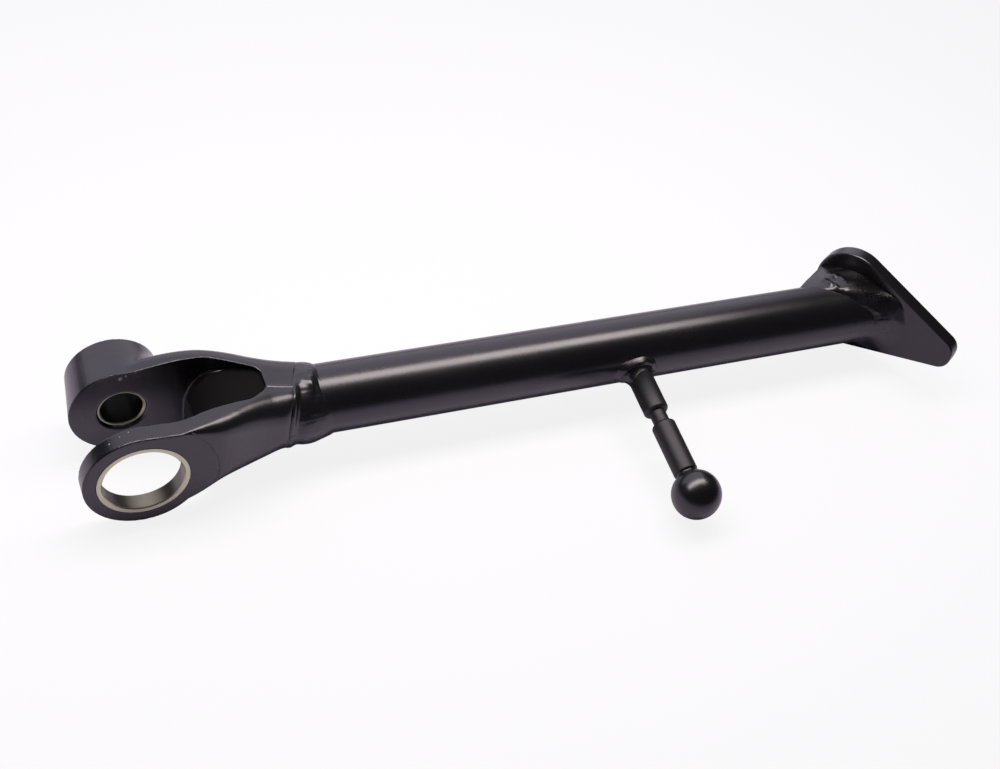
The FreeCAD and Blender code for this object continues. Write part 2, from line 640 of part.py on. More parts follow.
def make_spring_peg():
    """The turned peg: shank, groove for the spring hook, pin, neck and ball."""
    peg = body("spring_peg")
    peg.Placement = FreeCAD.Placement(
        FreeCAD.Vector(value("peg_place"), 0, 0), FreeCAD.Rotation(X_AXIS, value("peg_lean")))
    peg.setExpression("Placement.Base.x", bound("peg_place"))
    peg.setExpression("Placement.Rotation.Angle", bound("peg_lean"))
    base, groove = "peg_base_diameter / 2", "peg_groove_diameter / 2"
    pin, neck = "peg_pin_diameter / 2", "peg_neck_diameter / 2"
    inner = TUBE_RADIUS + " - peg_depth"
    groove_end = "peg_base_end + peg_groove_width"
    pin_end = groove_end + " + peg_pin_length"
    steps = (
        ("0", inner),
        (base, inner),
        (base, "peg_base_end - peg_edge"),
        (base + " - peg_edge", "peg_base_end"),
        (groove, "peg_base_end"),
        (groove, groove_end),
        (pin + " - peg_edge", groove_end),
        (pin, groove_end + " + peg_edge"),
        (pin, pin_end + " - peg_ball_edge"),
        (pin + " - peg_ball_edge", pin_end),
        (neck, pin_end),
        (neck, "ball_distance"),
        ("0", "ball_distance"),
    )
    profile = sketch(peg, "Peg_profile", "XY_Plane")
    polygon(profile, [(radius, "-(" + along + ")") for radius, along in steps])
    revolution(peg, "Stem", profile, "V_Axis")
    ball = peg.newObject("PartDesign::AdditiveSphere", "Ball")
    ball.Radius = value("ball_diameter / 2")
    ball.setExpression("Radius", bound("ball_diameter / 2"))
    ball.Placement = FreeCAD.Placement(
        FreeCAD.Vector(0, -value("ball_distance"), 0), FreeCAD.Rotation(X_AXIS, 90))
    ball.setExpression("Placement.Base.y", bound("-ball_distance"))
    doc.recompute()
    return peg


def cylinder(name, radius, height, placement):
    solid = doc.addObject("Part::Cylinder", name)
    solid.setExpression("Radius", bound(radius))
    solid.setExpression("Height", bound(height))
    solid.Placement = placement
    return solid


def make_peg_weld():
    """The hollow bead round the foot of the peg, following the tube's round side."""
    length = 4 * value("bead_reach")
    place = value("peg_place")
    along_leg = FreeCAD.Placement(FreeCAD.Vector(place - length / 2, 0, 0),
                                  FreeCAD.Rotation(Y_AXIS, 90))
    along_peg = FreeCAD.Placement(FreeCAD.Vector(place, 0, 0),
                                  FreeCAD.Rotation(X_AXIS, 90 + value("peg_lean")))
    tube_skin = cylinder("Bead_on_tube", TUBE_RADIUS + " + bead_toe", "4 * bead_reach", along_leg)
    peg_skin = cylinder("Bead_on_peg", "peg_base_diameter / 2 + bead_toe",
                        TUBE_RADIUS + " + bead_rise", along_peg)
    joined = doc.addObject("Part::Fuse", "Bead_blank")
    joined.Base = tube_skin
    joined.Tool = peg_skin
    doc.recompute()
    seams = [(number, value("bead_radius"), value("bead_radius"))
             for number, edge in enumerate(joined.Shape.Edges, start=1)
             if not isinstance(edge.Curve, (Part.Circle, Part.Line))]
    hollow = doc.addObject("Part::Fillet", "Bead_hollow")
    hollow.Base = joined
    hollow.Edges = seams
    doc.recompute()
    lean = math.radians(value("peg_lean"))
    surface = value(TUBE_RADIUS)
    reach = doc.addObject("Part::Sphere", "Bead_reach")
    reach.setExpression("Radius", bound("bead_reach"))
    reach.Placement.Base = FreeCAD.Vector(
        place - value("bead_shift"), -surface * math.cos(lean),
        -surface * math.sin(lean) - value("bead_drop"))
    trimmed = doc.addObject("Part::Common", "Bead_trimmed")
    trimmed.Base = hollow
    trimmed.Tool = reach
    tube_core = cylinder("Tube_core", TUBE_RADIUS, "4 * bead_reach", along_leg)
    around = doc.addObject("Part::Cut", "Bead_off_tube")
    around.Base = trimmed
    around.Tool = tube_core
    peg_core = cylinder("Peg_core", "peg_base_diameter / 2",
                        TUBE_RADIUS + " + 3 * bead_reach", along_peg)
    weld = doc.addObject("Part::Cut", "peg_weld")
    weld.Base = around
    weld.Tool = peg_core
    weld.Label = "peg_weld"
    doc.recompute()
    return weld


def make_parts():
    cutter = make_slot_cutter()
    return (
        make_fork_head(cutter),
        make_bush("large_bush", "large_bush_bore", "large_bush_wall",
                  INNER_NEAR, "near_ear_thickness"),
        make_bush("small_bush", "small_bush_bore", "small_bush_wall",
                  "-(" + FAR_FACE + " + far_ear_length - small_bush_recess)",
                  "far_ear_length - 2 * small_bush_recess"),
        make_leg_tube(),
        make_head_weld(),
        make_foot_plate(),
        make_foot_weld(),
        make_spring_peg(),
        make_peg_weld(),
    )


def check(parts):
    """Stop before anything is written if an object failed or a shape is not a sound solid."""
    for thing in doc.Objects:
        if "Invalid" in thing.State or "Error" in thing.State:
            raise RuntimeError("failed: " + thing.Label)
    for part in parts:
        if part.Shape.isNull() or not part.Shape.isValid() or len(part.Shape.Solids) != 1:
            raise RuntimeError("not one sound solid: " + part.Label)


def write(parts):
    os.makedirs("parts", exist_ok=True)
    for part in parts:
        part.Shape.exportStep("parts/" + part.Label + ".step")
        box = part.Shape.BoundBox
        print("%-12s %9.1f mm3  x %.1f..%.1f  y %.1f..%.1f  z %.1f..%.1f" % (
            part.Label, part.Shape.Volume, box.XMin, box.XMax,
            box.YMin, box.YMax, box.ZMin, box.ZMax))


all_parts = make_parts()
doc.recompute()
check(all_parts)
write(all_parts)
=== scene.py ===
import math

import bmesh
import bpy
from bpy.props import FloatProperty, FloatVectorProperty, IntProperty, PointerProperty
from mathutils import Matrix, Vector, noise


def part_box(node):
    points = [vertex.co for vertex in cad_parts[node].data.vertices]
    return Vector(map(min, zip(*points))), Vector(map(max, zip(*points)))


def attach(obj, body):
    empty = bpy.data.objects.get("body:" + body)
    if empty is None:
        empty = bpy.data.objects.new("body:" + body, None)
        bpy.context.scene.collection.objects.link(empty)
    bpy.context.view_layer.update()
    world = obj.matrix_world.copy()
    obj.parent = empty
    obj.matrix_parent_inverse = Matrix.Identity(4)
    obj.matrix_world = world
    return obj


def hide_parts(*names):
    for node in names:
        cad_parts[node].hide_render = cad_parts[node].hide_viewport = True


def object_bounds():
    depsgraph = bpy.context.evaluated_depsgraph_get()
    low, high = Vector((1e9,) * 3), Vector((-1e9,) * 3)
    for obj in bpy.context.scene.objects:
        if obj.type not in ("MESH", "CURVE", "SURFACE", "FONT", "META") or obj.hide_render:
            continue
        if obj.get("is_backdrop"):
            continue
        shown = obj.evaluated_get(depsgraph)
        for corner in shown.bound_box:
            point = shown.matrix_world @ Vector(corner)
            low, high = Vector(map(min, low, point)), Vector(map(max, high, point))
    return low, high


# Looks of a motorcycle side stand leg round its fixed construction: satin black powder coat
# over a forged head, a tube, a turned peg, a tilted foot plate and their welds.
# The scene is in metres and the shapes are worked out in millimetres, both in the frame of
# the construction: +X along the leg, +Y along the pivot axis, +Z up. Directions round the
# leg are in degrees from +Y over +Z.

bl_info = {
    "name": "Side Stand Leg",
    "version": (1, 0, 0),
    "blender": (4, 5, 0),
    "location": "3D View > Sidebar > Side Stand",
    "description": "Builds the painted look of a side stand leg round its construction",
    "category": "Object",
}

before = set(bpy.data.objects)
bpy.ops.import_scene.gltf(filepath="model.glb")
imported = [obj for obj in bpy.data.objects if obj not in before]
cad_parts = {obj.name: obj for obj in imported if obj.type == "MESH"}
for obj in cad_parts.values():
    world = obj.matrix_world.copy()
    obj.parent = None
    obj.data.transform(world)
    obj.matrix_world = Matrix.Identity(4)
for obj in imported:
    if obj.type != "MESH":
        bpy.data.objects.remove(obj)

BODY = "root"
COAT = "coated_steel"
STEEL = "bush_steel"
MM = 0.001

# The sizes of the construction that the looks follow, in millimetres.
TUBE_RADIUS = 14.0
PIVOT_NEAR_FACE = -25.7
NEAR_EAR_INSIDE = -18.7
FAR_EAR_INSIDE = 10.4
EYE_FACE_RADIUS = 27.4
LARGE_BORE, SMALL_BORE = 15.0, 8.0
LARGE_SEAT, SMALL_SEAT = 17.0, 9.0
SHOULDER_PLACE = 63.0
SHOULDER_SLOPE = math.tan(math.radians(19.0))
FOOT_PLACE = 331.0
FOOT_TILT = math.radians(31.7)
PEG_PLACE = 209.8
PEG_LEAN = math.radians(8.5)
PEG_RADIUS = 5.3
GROOVE_RADIUS, PIN_RADIUS, NECK_RADIUS = 3.45, 5.1, 4.5
GROOVE_START, GROOVE_END, PIN_END = 34.4, 40.2, 64.6
BALL_CENTRE, BALL_RADIUS = 75.3, 10.3
# The foot plate's two ends: distance from the leg's axis, half width, corner radius.
PLATE_HEEL = (26.0, 31.8, 17.0)
PLATE_TIP = (46.0, 5.9, 6.8)


# Settings

class CoatSettings(bpy.types.PropertyGroup):
    colour: FloatVectorProperty(
        name="Colour", description="Colour of the powder coat", subtype="COLOR",
        size=3, min=0.0, max=1.0, default=(0.0034, 0.0030, 0.0038))
    sheen_tint: FloatVectorProperty(
        name="Reflection tint", description="Tint of what the powder coat reflects",
        subtype="COLOR", size=3, min=0.0, max=1.0, default=(0.88, 0.82, 1.0))
    roughness: FloatProperty(
        name="Roughness", description="Roughness of the powder coat", subtype="FACTOR",
        min=0.05, max=1.0, default=0.27)
    grain: FloatProperty(
        name="Grain size", description="Width of the coat's fine orange peel",
        subtype="DISTANCE", unit="LENGTH", min=0.0001, default=0.0011)
    relief: FloatProperty(
        name="Relief", description="Strength of the orange peel", subtype="FACTOR",
        min=0.0, max=1.0, default=0.05)


class SteelSettings(bpy.types.PropertyGroup):
    colour: FloatVectorProperty(
        name="Colour", description="Colour of the turned bushes", subtype="COLOR",
        size=3, min=0.0, max=1.0, default=(0.42, 0.40, 0.37))
    roughness: FloatProperty(
        name="Roughness", description="Roughness of the turned bushes", subtype="FACTOR",
        min=0.05, max=1.0, default=0.36)


class ForgingSettings(bpy.types.PropertyGroup):
    cell: FloatProperty(
        name="Cell size", description="Fineness of the forged head's skin",
        subtype="DISTANCE", unit="LENGTH", min=0.0002, default=0.00036)
    softness: IntProperty(
        name="Edge softness", description="Smoothing passes that round the coated edges",
        min=0, default=4)
    waviness: FloatProperty(
        name="Waviness", description="Unevenness of the forged surfaces in millimetres",
        min=0.0, default=0.05)
    triangles: IntProperty(
        name="Triangles", description="Most triangles in the head", min=1000, default=170000)


class WeldSettings(bpy.types.PropertyGroup):
    ripple_pitch: FloatProperty(
        name="Ripple pitch", description="Distance between the ripples of a bead",
        subtype="DISTANCE", unit="LENGTH", min=0.0002, default=0.0022)
    ripple_height: FloatProperty(
        name="Ripple height", description="Height of the ripples under the coat",
        subtype="DISTANCE", unit="LENGTH", min=0.0, default=0.00002)
    lump_size: FloatProperty(
        name="Lump size", description="Width of the bead's lumps",
        subtype="DISTANCE", unit="LENGTH", min=0.0005, default=0.0050)
    lump_height: FloatProperty(
        name="Lump height", description="Height of the bead's lumps",
        subtype="DISTANCE", unit="LENGTH", min=0.0, default=0.00022)
    seed: IntProperty(name="Seed", description="Which lumps the beads get", default=4)


class StageSettings(bpy.types.PropertyGroup):
    lens: FloatProperty(
        name="Lens", description="Focal length in millimetres", min=10.0, default=53.864)
    place: FloatVectorProperty(
        name="Camera place", description="Where the camera stands", subtype="TRANSLATION",
        unit="LENGTH", size=3, default=(-0.07524, -0.38454, 0.42580))
    key_power: FloatProperty(
        name="Softbox power", description="Power of the softbox over the leg",
        unit="POWER", min=0.0, default=2.6)
    back_power: FloatProperty(
        name="Rear panel power", description="Power of the pale panel behind the leg",
        unit="POWER", min=0.0, default=16.5)
    room_light: FloatProperty(
        name="Room light", description="Strength of the light from all round",
        min=0.0, default=0.05)


# Nodes

def add(tree, kind, inputs=(), **settings):
    """A new node with its settings, and with a socket or a plain value for each input."""
    node = tree.nodes.new(kind)
    for name, setting in settings.items():
        setattr(node, name, setting)
    for key, side in dict(inputs).items():
        if isinstance(side, bpy.types.NodeSocket):
            tree.links.new(side, node.inputs[key])
        else:
            node.inputs[key].default_value = side
    return node


def maths(tree, operation, *sides):
    """What a maths node makes of its sides, each a socket or a number."""
    return add(tree, "ShaderNodeMath", enumerate(sides), operation=operation).outputs["Value"]


def remap(tree, source, low, high, from_low=0.0, from_high=1.0):
    """Carries one range of a value to another and keeps it there."""
    change = add(tree, "ShaderNodeMapRange", {
        "Value": source, "From Min": from_low, "From Max": from_high,
        "To Min": low, "To Max": high})
    return change.outputs["Result"]


def piece_place(tree):
    """Where a point lies on its piece."""
    return add(tree, "ShaderNodeTexCoord").outputs["Object"]


def noise_on(tree, place, scale, detail, roughness=0.5):
    texture = add(tree, "ShaderNodeTexNoise", {
        "Vector": place, "Scale": scale, "Detail": detail, "Roughness": roughness})
    return texture.outputs["Fac"]


def mixed_colour(tree, share, first, second):
    mix = add(tree, "ShaderNodeMix", {"Factor": share, "A": first, "B": second},
              data_type="RGBA")
    return mix.outputs["Result"]


def clouded_colour(tree, cloud, colour, dark, light):
    """A colour that drifts between a darker and a lighter share of itself."""
    ends = [(*(share * c for c in colour), 1.0) for share in (dark, light)]
    return mixed_colour(tree, cloud, *ends)


def bumped(tree, height, strength, distance):
    bump = add(tree, "ShaderNodeBump", {
        "Height": height, "Strength": strength, "Distance": distance})
    return bump.outputs["Normal"]


def seen_by_camera(tree):
    return add(tree, "ShaderNodeLightPath").outputs["Is Camera Ray"]


def mixed_light(tree, share, first, second):
    return add(tree, "ShaderNodeMixShader", {"Fac": share, 1: first, 2: second}).outputs[0]


# Materials

# How strongly the coat reflects; the foot weld's corner spots reflect little, as painted shade.
COAT_GLOSS, THIN_SHADE_GLOSS = 0.8, 0.2
# Dulling makes a coat rougher and less reflective; on the recess floor its weak reflection is
# also painted shade.
RECESS_DULLING_AND_SHADE, PEG_DULLING = 0.66, 0.24
PEEL_HEIGHT, TOOL_MARK_HEIGHT = 0.0002, 0.0001
CHIP_COLOUR = (0.32, 0.30, 0.32, 1.0)
CHIP_ROUGHNESS = 0.3
# Noises: waves per metre, detail and roughness; then the range that most of their values fill.
COAT_CLOUD, STEEL_CLOUD, SPECKLE = (26.0, 4.0, 0.6), (90.0, 3.0, 0.6), (1300.0, 3.0, 0.7)
CLOUD_RANGE = (0.3, 0.7)
# A ragged spot is whole inside the first share of its radius and gone past the second; the
# weight is how much that counts against the raggedness.
SPOT_CORE, SPOT_EDGE, SPOT_WEIGHT = 0.4, 1.2, 1.6
# Waves per metre of the turning marks along X, Y and Z: they run round the pivot axis.
TOOL_MARKS = (60.0, 5200.0, 60.0)
# What the turned ends keep of red, green and blue: bare steel there has a straw tint.
STRAW = (1.0, 1.03, 0.86)
WHITE = (1.0, 1.0, 1.0, 1.0)
# Chips and rubbed spots on the head: place and radius in millimetres.
HEAD_CHIPS = (
    ((-0.4, 10.4, 17.3), 1.1), ((1.8, 10.4, 18.2), 0.6), ((5.3, 10.4, 19.2), 0.45),
    ((-11.1, -22.0, 18.9), 0.35), ((-7.3, -21.0, 20.9), 0.35), ((-4.0, -20.2, 21.7), 0.3),
)
# Spots in the corner between tube and plate with a thin coat that reflects little, painted shade
# in that corner.
THIN_COAT_SHADE_SPOTS = (((333.5, -6.8, 14.8), 6.5), ((329.0, -3.0, 16.2), 6.5), ((324.5, 0.5, 16.8), 5.5),
             ((320.5, 4.0, 17.2), 3.8))


def new_material(name):
    """A material with an empty tree."""
    material = bpy.data.materials.new(name)
    material.use_nodes = True
    material.node_tree.nodes.clear()
    return material, material.node_tree


def spot_mask(tree, spots):
    """1 inside ragged little spots, given as places and radii in millimetres, 0 outside."""
    place = piece_place(tree)
    ragged = remap(tree, noise_on(tree, place, *SPECKLE), -0.9, 0.9, *CLOUD_RANGE)
    inside = 0.0
    for centre, radius in spots:
        distance = add(tree, "ShaderNodeVectorMath", {0: place, 1: metres(*centre)},
                       operation="DISTANCE").outputs["Value"]
        near = remap(tree, distance, 1.0, 0.0, SPOT_CORE * radius * MM, SPOT_EDGE * radius * MM)
        inside = maths(tree, "MAXIMUM", inside, near)
    broken = maths(tree, "MULTIPLY_ADD", inside, SPOT_WEIGHT, ragged)
    return remap(tree, broken, 0.0, 1.0, 0.85, 1.15)


def coat_material(coat, name, chips=(), dulling=0.0, gloss=COAT_GLOSS):
    """Satin black powder coat with a fine orange peel, bare steel showing where it is chipped."""
    material, tree = new_material(name)
    place = piece_place(tree)
    cloud = noise_on(tree, place, *COAT_CLOUD)
    colour = clouded_colour(tree, cloud, coat.colour, 0.75, 1.25)
    rough = remap(tree, cloud, coat.roughness + dulling - 0.025,
                  coat.roughness + dulling + 0.025, *CLOUD_RANGE)
    if chips:
        bare = spot_mask(tree, chips)
        colour = mixed_colour(tree, bare, colour, CHIP_COLOUR)
        rough = maths(tree, "MULTIPLY_ADD", bare, CHIP_ROUGHNESS, rough)
    peel = noise_on(tree, place, 1.0 / coat.grain, 2.0)
    shader = add(tree, "ShaderNodeBsdfPrincipled", {
        "Base Color": colour, "Roughness": rough,
        "Specular IOR Level": gloss - dulling, "Specular Tint": (*coat.sheen_tint, 1.0),
        "Normal": bumped(tree, peel, coat.relief, PEEL_HEIGHT)})
    add(tree, "ShaderNodeOutputMaterial", {"Surface": shader.outputs["BSDF"]})
    return material


def steel_material(steel, name, share, metallic=1.0, cast=(1.0, 1.0, 1.0)):
    """Turned steel with fine tool marks; metallic is 0 for the near-black copy that paints shade
    into a bore.
    """
    material, tree = new_material(name)
    place = piece_place(tree)
    cloud = noise_on(tree, place, *STEEL_CLOUD)
    colour = [share * part * c for part, c in zip(cast, steel.colour)]
    stretched = add(tree, "ShaderNodeVectorMath", {0: place, 1: TOOL_MARKS},
                    operation="MULTIPLY").outputs["Vector"]
    marks = noise_on(tree, stretched, 1.0, 2.0)
    shader = add(tree, "ShaderNodeBsdfPrincipled", {
        "Base Color": clouded_colour(tree, cloud, colour, 0.85, 1.1),
        "Roughness": remap(tree, cloud, steel.roughness - 0.05, steel.roughness + 0.05,
                           *CLOUD_RANGE),
        "Metallic": metallic, "Specular IOR Level": 0.06 + 0.44 * metallic,
        "Normal": bumped(tree, marks, 0.12, TOOL_MARK_HEIGHT)})
    add(tree, "ShaderNodeOutputMaterial", {"Surface": shader.outputs["BSDF"]})
    return material


def floor_material():
    """A pale matt floor that the camera sees nearly white, with the part's shadow on it."""
    material, tree = new_material("pale_floor")
    grain = noise_on(tree, piece_place(tree), 3.0, 2.0)
    tone = mixed_colour(tree, grain, (0.67, 0.62, 0.80, 1.0), (0.70, 0.65, 0.84, 1.0))
    matt = add(tree, "ShaderNodeBsdfDiffuse", {"Color": tone})
    glow = add(tree, "ShaderNodeEmission", {"Color": WHITE, "Strength": 1.02})
    share = maths(tree, "MULTIPLY", seen_by_camera(tree), 0.84)
    both = mixed_light(tree, share, matt.outputs["BSDF"], glow.outputs["Emission"])
    add(tree, "ShaderNodeOutputMaterial", {"Surface": both})
    return material


def make_world(room_light):
    """Dim light from all round that the camera sees as white."""
    world = bpy.data.worlds.new("room")
    world.use_nodes = True
    tree = world.node_tree
    tree.nodes.clear()
    room = add(tree, "ShaderNodeBackground", {
        "Color": (1.0, 0.97, 1.0, 1.0), "Strength": room_light})
    white = add(tree, "ShaderNodeBackground", {"Color": WHITE})
    both = mixed_light(tree, seen_by_camera(tree), room.outputs["Background"],
                       white.outputs["Background"])
    add(tree, "ShaderNodeOutputWorld", {"Surface": both})
    bpy.context.scene.world = world


def give_materials(mesh, *materials):
    """The mesh gets these materials in place of any that it has."""
    mesh.materials.clear()
    for material in materials:
        mesh.materials.append(material)


# Sums

def clamp(value):
    """The value, held between 0 and 1."""
    return min(1.0, max(0.0, value))


def ease(part):
    """A slow start and a slow end for a part from 0 to 1."""
    return part * part * (3.0 - 2.0 * part)


def within(value, start, end, fade_in, fade_out):
    """1 between start and end, falling to 0 at both over the lengths of the fades."""
    return min(clamp((value - start) / fade_in), clamp((end - value) / fade_out))


def bell(value, middle, width):
    """1 at the middle, and falling away smoothly on both sides."""
    return math.exp(-((value - middle) / width) ** 2)


def metres(x, y, z):
    """A place that is given in millimetres."""
    return Vector((MM * x, MM * y, MM * z))


def along_leg(x):
    """A place on the leg's axis."""
    return Vector((x, 0.0, 0.0))


def from_leg(angle):
    """The way out from the leg's axis."""
    return Vector((0.0, math.cos(angle), math.sin(angle)))


def curve_point(first, middle, last, t):
    """A point on the curve that three points steer."""
    return (1 - t) ** 2 * first + 2 * t * (1 - t) * middle + t * t * last


def long_curve_point(first, near, far, last, t):
    """A point on the curve that four points steer."""
    return ((1 - t) ** 3 * first + 3 * t * (1 - t) ** 2 * near
            + 3 * t * t * (1 - t) * far + t ** 3 * last)


def table(rows, value):
    """Straight-line reading of a table of (place, value) rows."""
    for (low, first), (high, second) in zip(rows, rows[1:]):
        if value <= high:
            return first + (second - first) * (value - low) / (high - low)
    return rows[-1][1]


def eased(rows, value, reach=0.035):
    """The same reading of a table from 0 to 1, rounded at its corners."""
    return sum(table(rows, clamp(value + reach * k)) for k in (-2, -1, 0, 1, 2)) / 5


def turns(steps):
    """Even steps once round, in radians."""
    return [2.0 * math.pi * step / steps for step in range(steps)]


# Meshes

def new_object(label, data):
    """An object in the scene that shows the data."""
    thing = bpy.data.objects.new(label, data)
    bpy.context.scene.collection.objects.link(thing)
    return thing


def finish_piece(label, mesh, node, slot, *materials):
    """The finished object that stands for one node of the construction."""
    thing = new_object(label, mesh)
    give_materials(mesh, *materials)
    mesh.shade_smooth()
    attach(thing, BODY)
    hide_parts(node)
    return thing


def evaluated_mesh(thing):
    """The object with its modifiers applied, as a plain mesh; the object itself goes."""
    bpy.context.view_layer.update()
    graph = bpy.context.evaluated_depsgraph_get()
    mesh = bpy.data.meshes.new_from_object(thing.evaluated_get(graph))
    bpy.data.objects.remove(thing)
    return mesh


def outward(mesh, join=0.0):
    """Turns the faces outwards, once points nearer to each other than join are one."""
    work = bmesh.new()
    work.from_mesh(mesh)
    if join:
        bmesh.ops.remove_doubles(work, verts=work.verts, dist=join)
    bmesh.ops.recalc_face_normals(work, faces=work.faces)
    work.to_mesh(mesh)
    work.free()
    return mesh


def joined_copy(node):
    """A node's triangles, joined at their points."""
    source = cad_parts[node]
    mesh = source.data.copy()
    mesh.transform(source.matrix_world)
    return outward(mesh, join=1e-6)


def grid_faces(rows, columns, is_ring):
    """Faces between rows of points that each close up; in a ring the last row meets the first."""
    faces = []
    for row in range(rows if is_ring else rows - 1):
        following = (row + 1) % rows
        for column in range(columns):
            beside = (column + 1) % columns
            faces.append((row * columns + column, row * columns + beside,
                          following * columns + beside, following * columns + column))
    return faces


# Head

# How near to a bush's seat or a cut face a place still counts as machined.
SEAT_SLACK, FACE_SLACK = 0.6, 0.3
SPIGOT_START = SHOULDER_PLACE + 4.0
# The trimmed forging flash on top: its ends along the leg and its fades there, its height and
# half width, and its slightly slanting line across the head.
FLASH_SPAN, FLASH_HEIGHT, FLASH_HALF = (47.5, 63.0, 3.0, 1.5), 0.32, 0.45
FLASH_PLACE, FLASH_ACROSS, FLASH_SLANT = 49.0, -5.1, -0.02
# The near arm's fuller top: where it starts to rise, over what length, and how high; then
# its middle and half width across the arm.
FULL_START, FULL_RUN, FULL_HEIGHT = 50.0, 12.0, 0.9
FULL_ACROSS = (-10.5, 5.5)
# The tool's edge line is as deep as half its width, and starts this far along the leg.
TOOL_LINE, TOOL_LINE_START = 0.42, 10.0
# The sizes of the forging's broad and small waves, and the height of the small ones.
BROAD_WAVES, SMALL_WAVES, SMALL_SHARE = 9.0, 2.6, 0.35
# The recess floor, whose thin coat is rougher and reflects far less, which also paints shade into
# the recess: its ends, its sides and its top.
RECESS = (22.0, 52.0, -13.5, 8.0, 16.7)


def fine_skin(mesh, cell, passes):
    """The same solid with an even fine skin and softly rounded edges."""
    thing = new_object("skin", mesh)
    rebuild = thing.modifiers.new("rebuild", "REMESH")
    rebuild.mode = "VOXEL"
    rebuild.voxel_size = cell
    rebuild.use_smooth_shade = True
    soften = thing.modifiers.new("soften", "SMOOTH")
    soften.factor = 0.5
    soften.iterations = passes
    return evaluated_mesh(thing)


def thinned(mesh, triangles):
    """The mesh brought down to a number of triangles, flat parts first."""
    thing = new_object("thinned", mesh)
    fewer = thing.modifiers.new("fewer", "DECIMATE")
    fewer.ratio = min(1.0, triangles / (2.0 * len(mesh.polygons)))
    return evaluated_mesh(thing)


def kept_inside(mesh, node):
    """The mesh with no point outside the node's own box."""
    low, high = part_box(node)
    for point in mesh.vertices:
        point.co = [min(max(c, a), b) for c, a, b in zip(point.co, low, high)]
    return mesh


def is_machined(x, y, z):
    """Whether a place on the head is on a cut face, in a bore or on the spigot."""
    from_pivot = math.hypot(x, z)
    from_face = min(abs(y - face) for face in (PIVOT_NEAR_FACE, NEAR_EAR_INSIDE, FAR_EAR_INSIDE))
    in_eye = (from_pivot < LARGE_SEAT + SEAT_SLACK and y < 0.0
              or from_pivot < SMALL_SEAT + SEAT_SLACK)
    return from_face < FACE_SLACK or in_eye or x > SPIGOT_START


def flash_line(x, y):
    """Height of the trimmed forging flash."""
    middle = FLASH_ACROSS + FLASH_SLANT * (x - FLASH_PLACE)
    return FLASH_HEIGHT * bell(y, middle, FLASH_HALF) * within(x, *FLASH_SPAN)


def full_shoulder(x, y):
    """How much fuller the near arm's top stays towards the weld."""
    rise = ease(clamp((x - FULL_START) / FULL_RUN))
    return FULL_HEIGHT * rise * bell(y, *FULL_ACROSS)


def spot_face_line(x, y, z):
    """Depth of the tool's edge line round the near eye's face, on the arm's side of it."""
    if y > PIVOT_NEAR_FACE + 1.2 or x < TOOL_LINE_START:
        return 0.0
    return TOOL_LINE * bell(math.hypot(x, z), EYE_FACE_RADIUS, TOOL_LINE)


def uneven_head(mesh, waviness):
    """Forged unevenness, the flash line and the fuller arm, on all but the machined faces."""
    lift = []
    for point in mesh.vertices:
        x, y, z = (c / MM for c in point.co)
        if is_machined(x, y, z):
            lift.append(-spot_face_line(x, y, z) * MM)
            continue
        broad, small = (noise.noise((x / wave, y / wave, z / wave))
                        for wave in (BROAD_WAVES, SMALL_WAVES))
        height = waviness * (broad + SMALL_SHARE * small)
        if z > 0.0 and point.normal.x < 0.8:
            height += clamp(1.6 * point.normal.z) * full_shoulder(x, y)
        if z > 11.0 and point.normal.z > 0.5:
            height += flash_line(x, y)
        lift.append(height * MM)
    normals = [point.normal.copy() for point in mesh.vertices]
    for point, normal, height in zip(mesh.vertices, normals, lift):
        point.co += height * normal


def is_recess_floor(face):
    """Whether a face of the head looks up from the recess floor."""
    x, y, z = (c / MM for c in face.center)
    start, end, near, far, top = RECESS
    return start < x < end and near < y < far and z < top and face.normal.z > 0.25


# Peg

# The peg's turned outline, from inside the tube to the ball: distance from the leg's axis,
# radius, and how far the corner there is rounded.
TIP_RADIUS = 0.02
PEG_CORNERS = (
    (10.5, TIP_RADIUS, 0.0), (10.5, PEG_RADIUS, 0.0),
    (33.5, PEG_RADIUS, 1.0), (GROOVE_START, 4.4, 0.5),
    (GROOVE_START, GROOVE_RADIUS, 0.35), (GROOVE_END, GROOVE_RADIUS, 0.5),
    (GROOVE_END, 4.2, 0.5), (41.1, PIN_RADIUS, 1.0),
    (PIN_END, PIN_RADIUS, 0.7), (65.2, 4.7, 0.3), (65.4, NECK_RADIUS, 0.2),
)
# A rounding takes no more than this share of the side next to it.
MOST_OF_SIDE = 0.45


def rounded(corners, steps=5):
    """A profile whose corners are rounded; each corner is (along, radius, rounding)."""
    profile = [corners[0][:2]]
    for before, corner, after in zip(corners, corners[1:], corners[2:]):
        here = Vector(corner[:2])
        back = Vector(before[:2]) - here
        ahead = Vector(after[:2]) - here
        reach = min(corner[2], MOST_OF_SIDE * back.length, MOST_OF_SIDE * ahead.length)
        if reach <= 0.0:
            profile.append(tuple(here))
            continue
        first = here + reach * back.normalized()
        last = here + reach * ahead.normalized()
        profile += [tuple(curve_point(first, here, last, step / steps))
                    for step in range(steps + 1)]
    profile.append(corners[-1][:2])
    return profile


def peg_profile(ball_steps=40):
    """Shank, groove, pin, neck and ball, from inside the tube outwards."""
    meet = math.asin(NECK_RADIUS / BALL_RADIUS)
    neck_end = (BALL_CENTRE - BALL_RADIUS * math.cos(meet), NECK_RADIUS, 0.0)
    profile = rounded((*PEG_CORNERS, neck_end))
    for step in range(1, ball_steps):
        angle = meet + (math.pi - meet) * step / ball_steps
        profile.append((BALL_CENTRE - BALL_RADIUS * math.cos(angle),
                        BALL_RADIUS * math.sin(angle)))
    profile.append((BALL_CENTRE + BALL_RADIUS, TIP_RADIUS))
    return profile


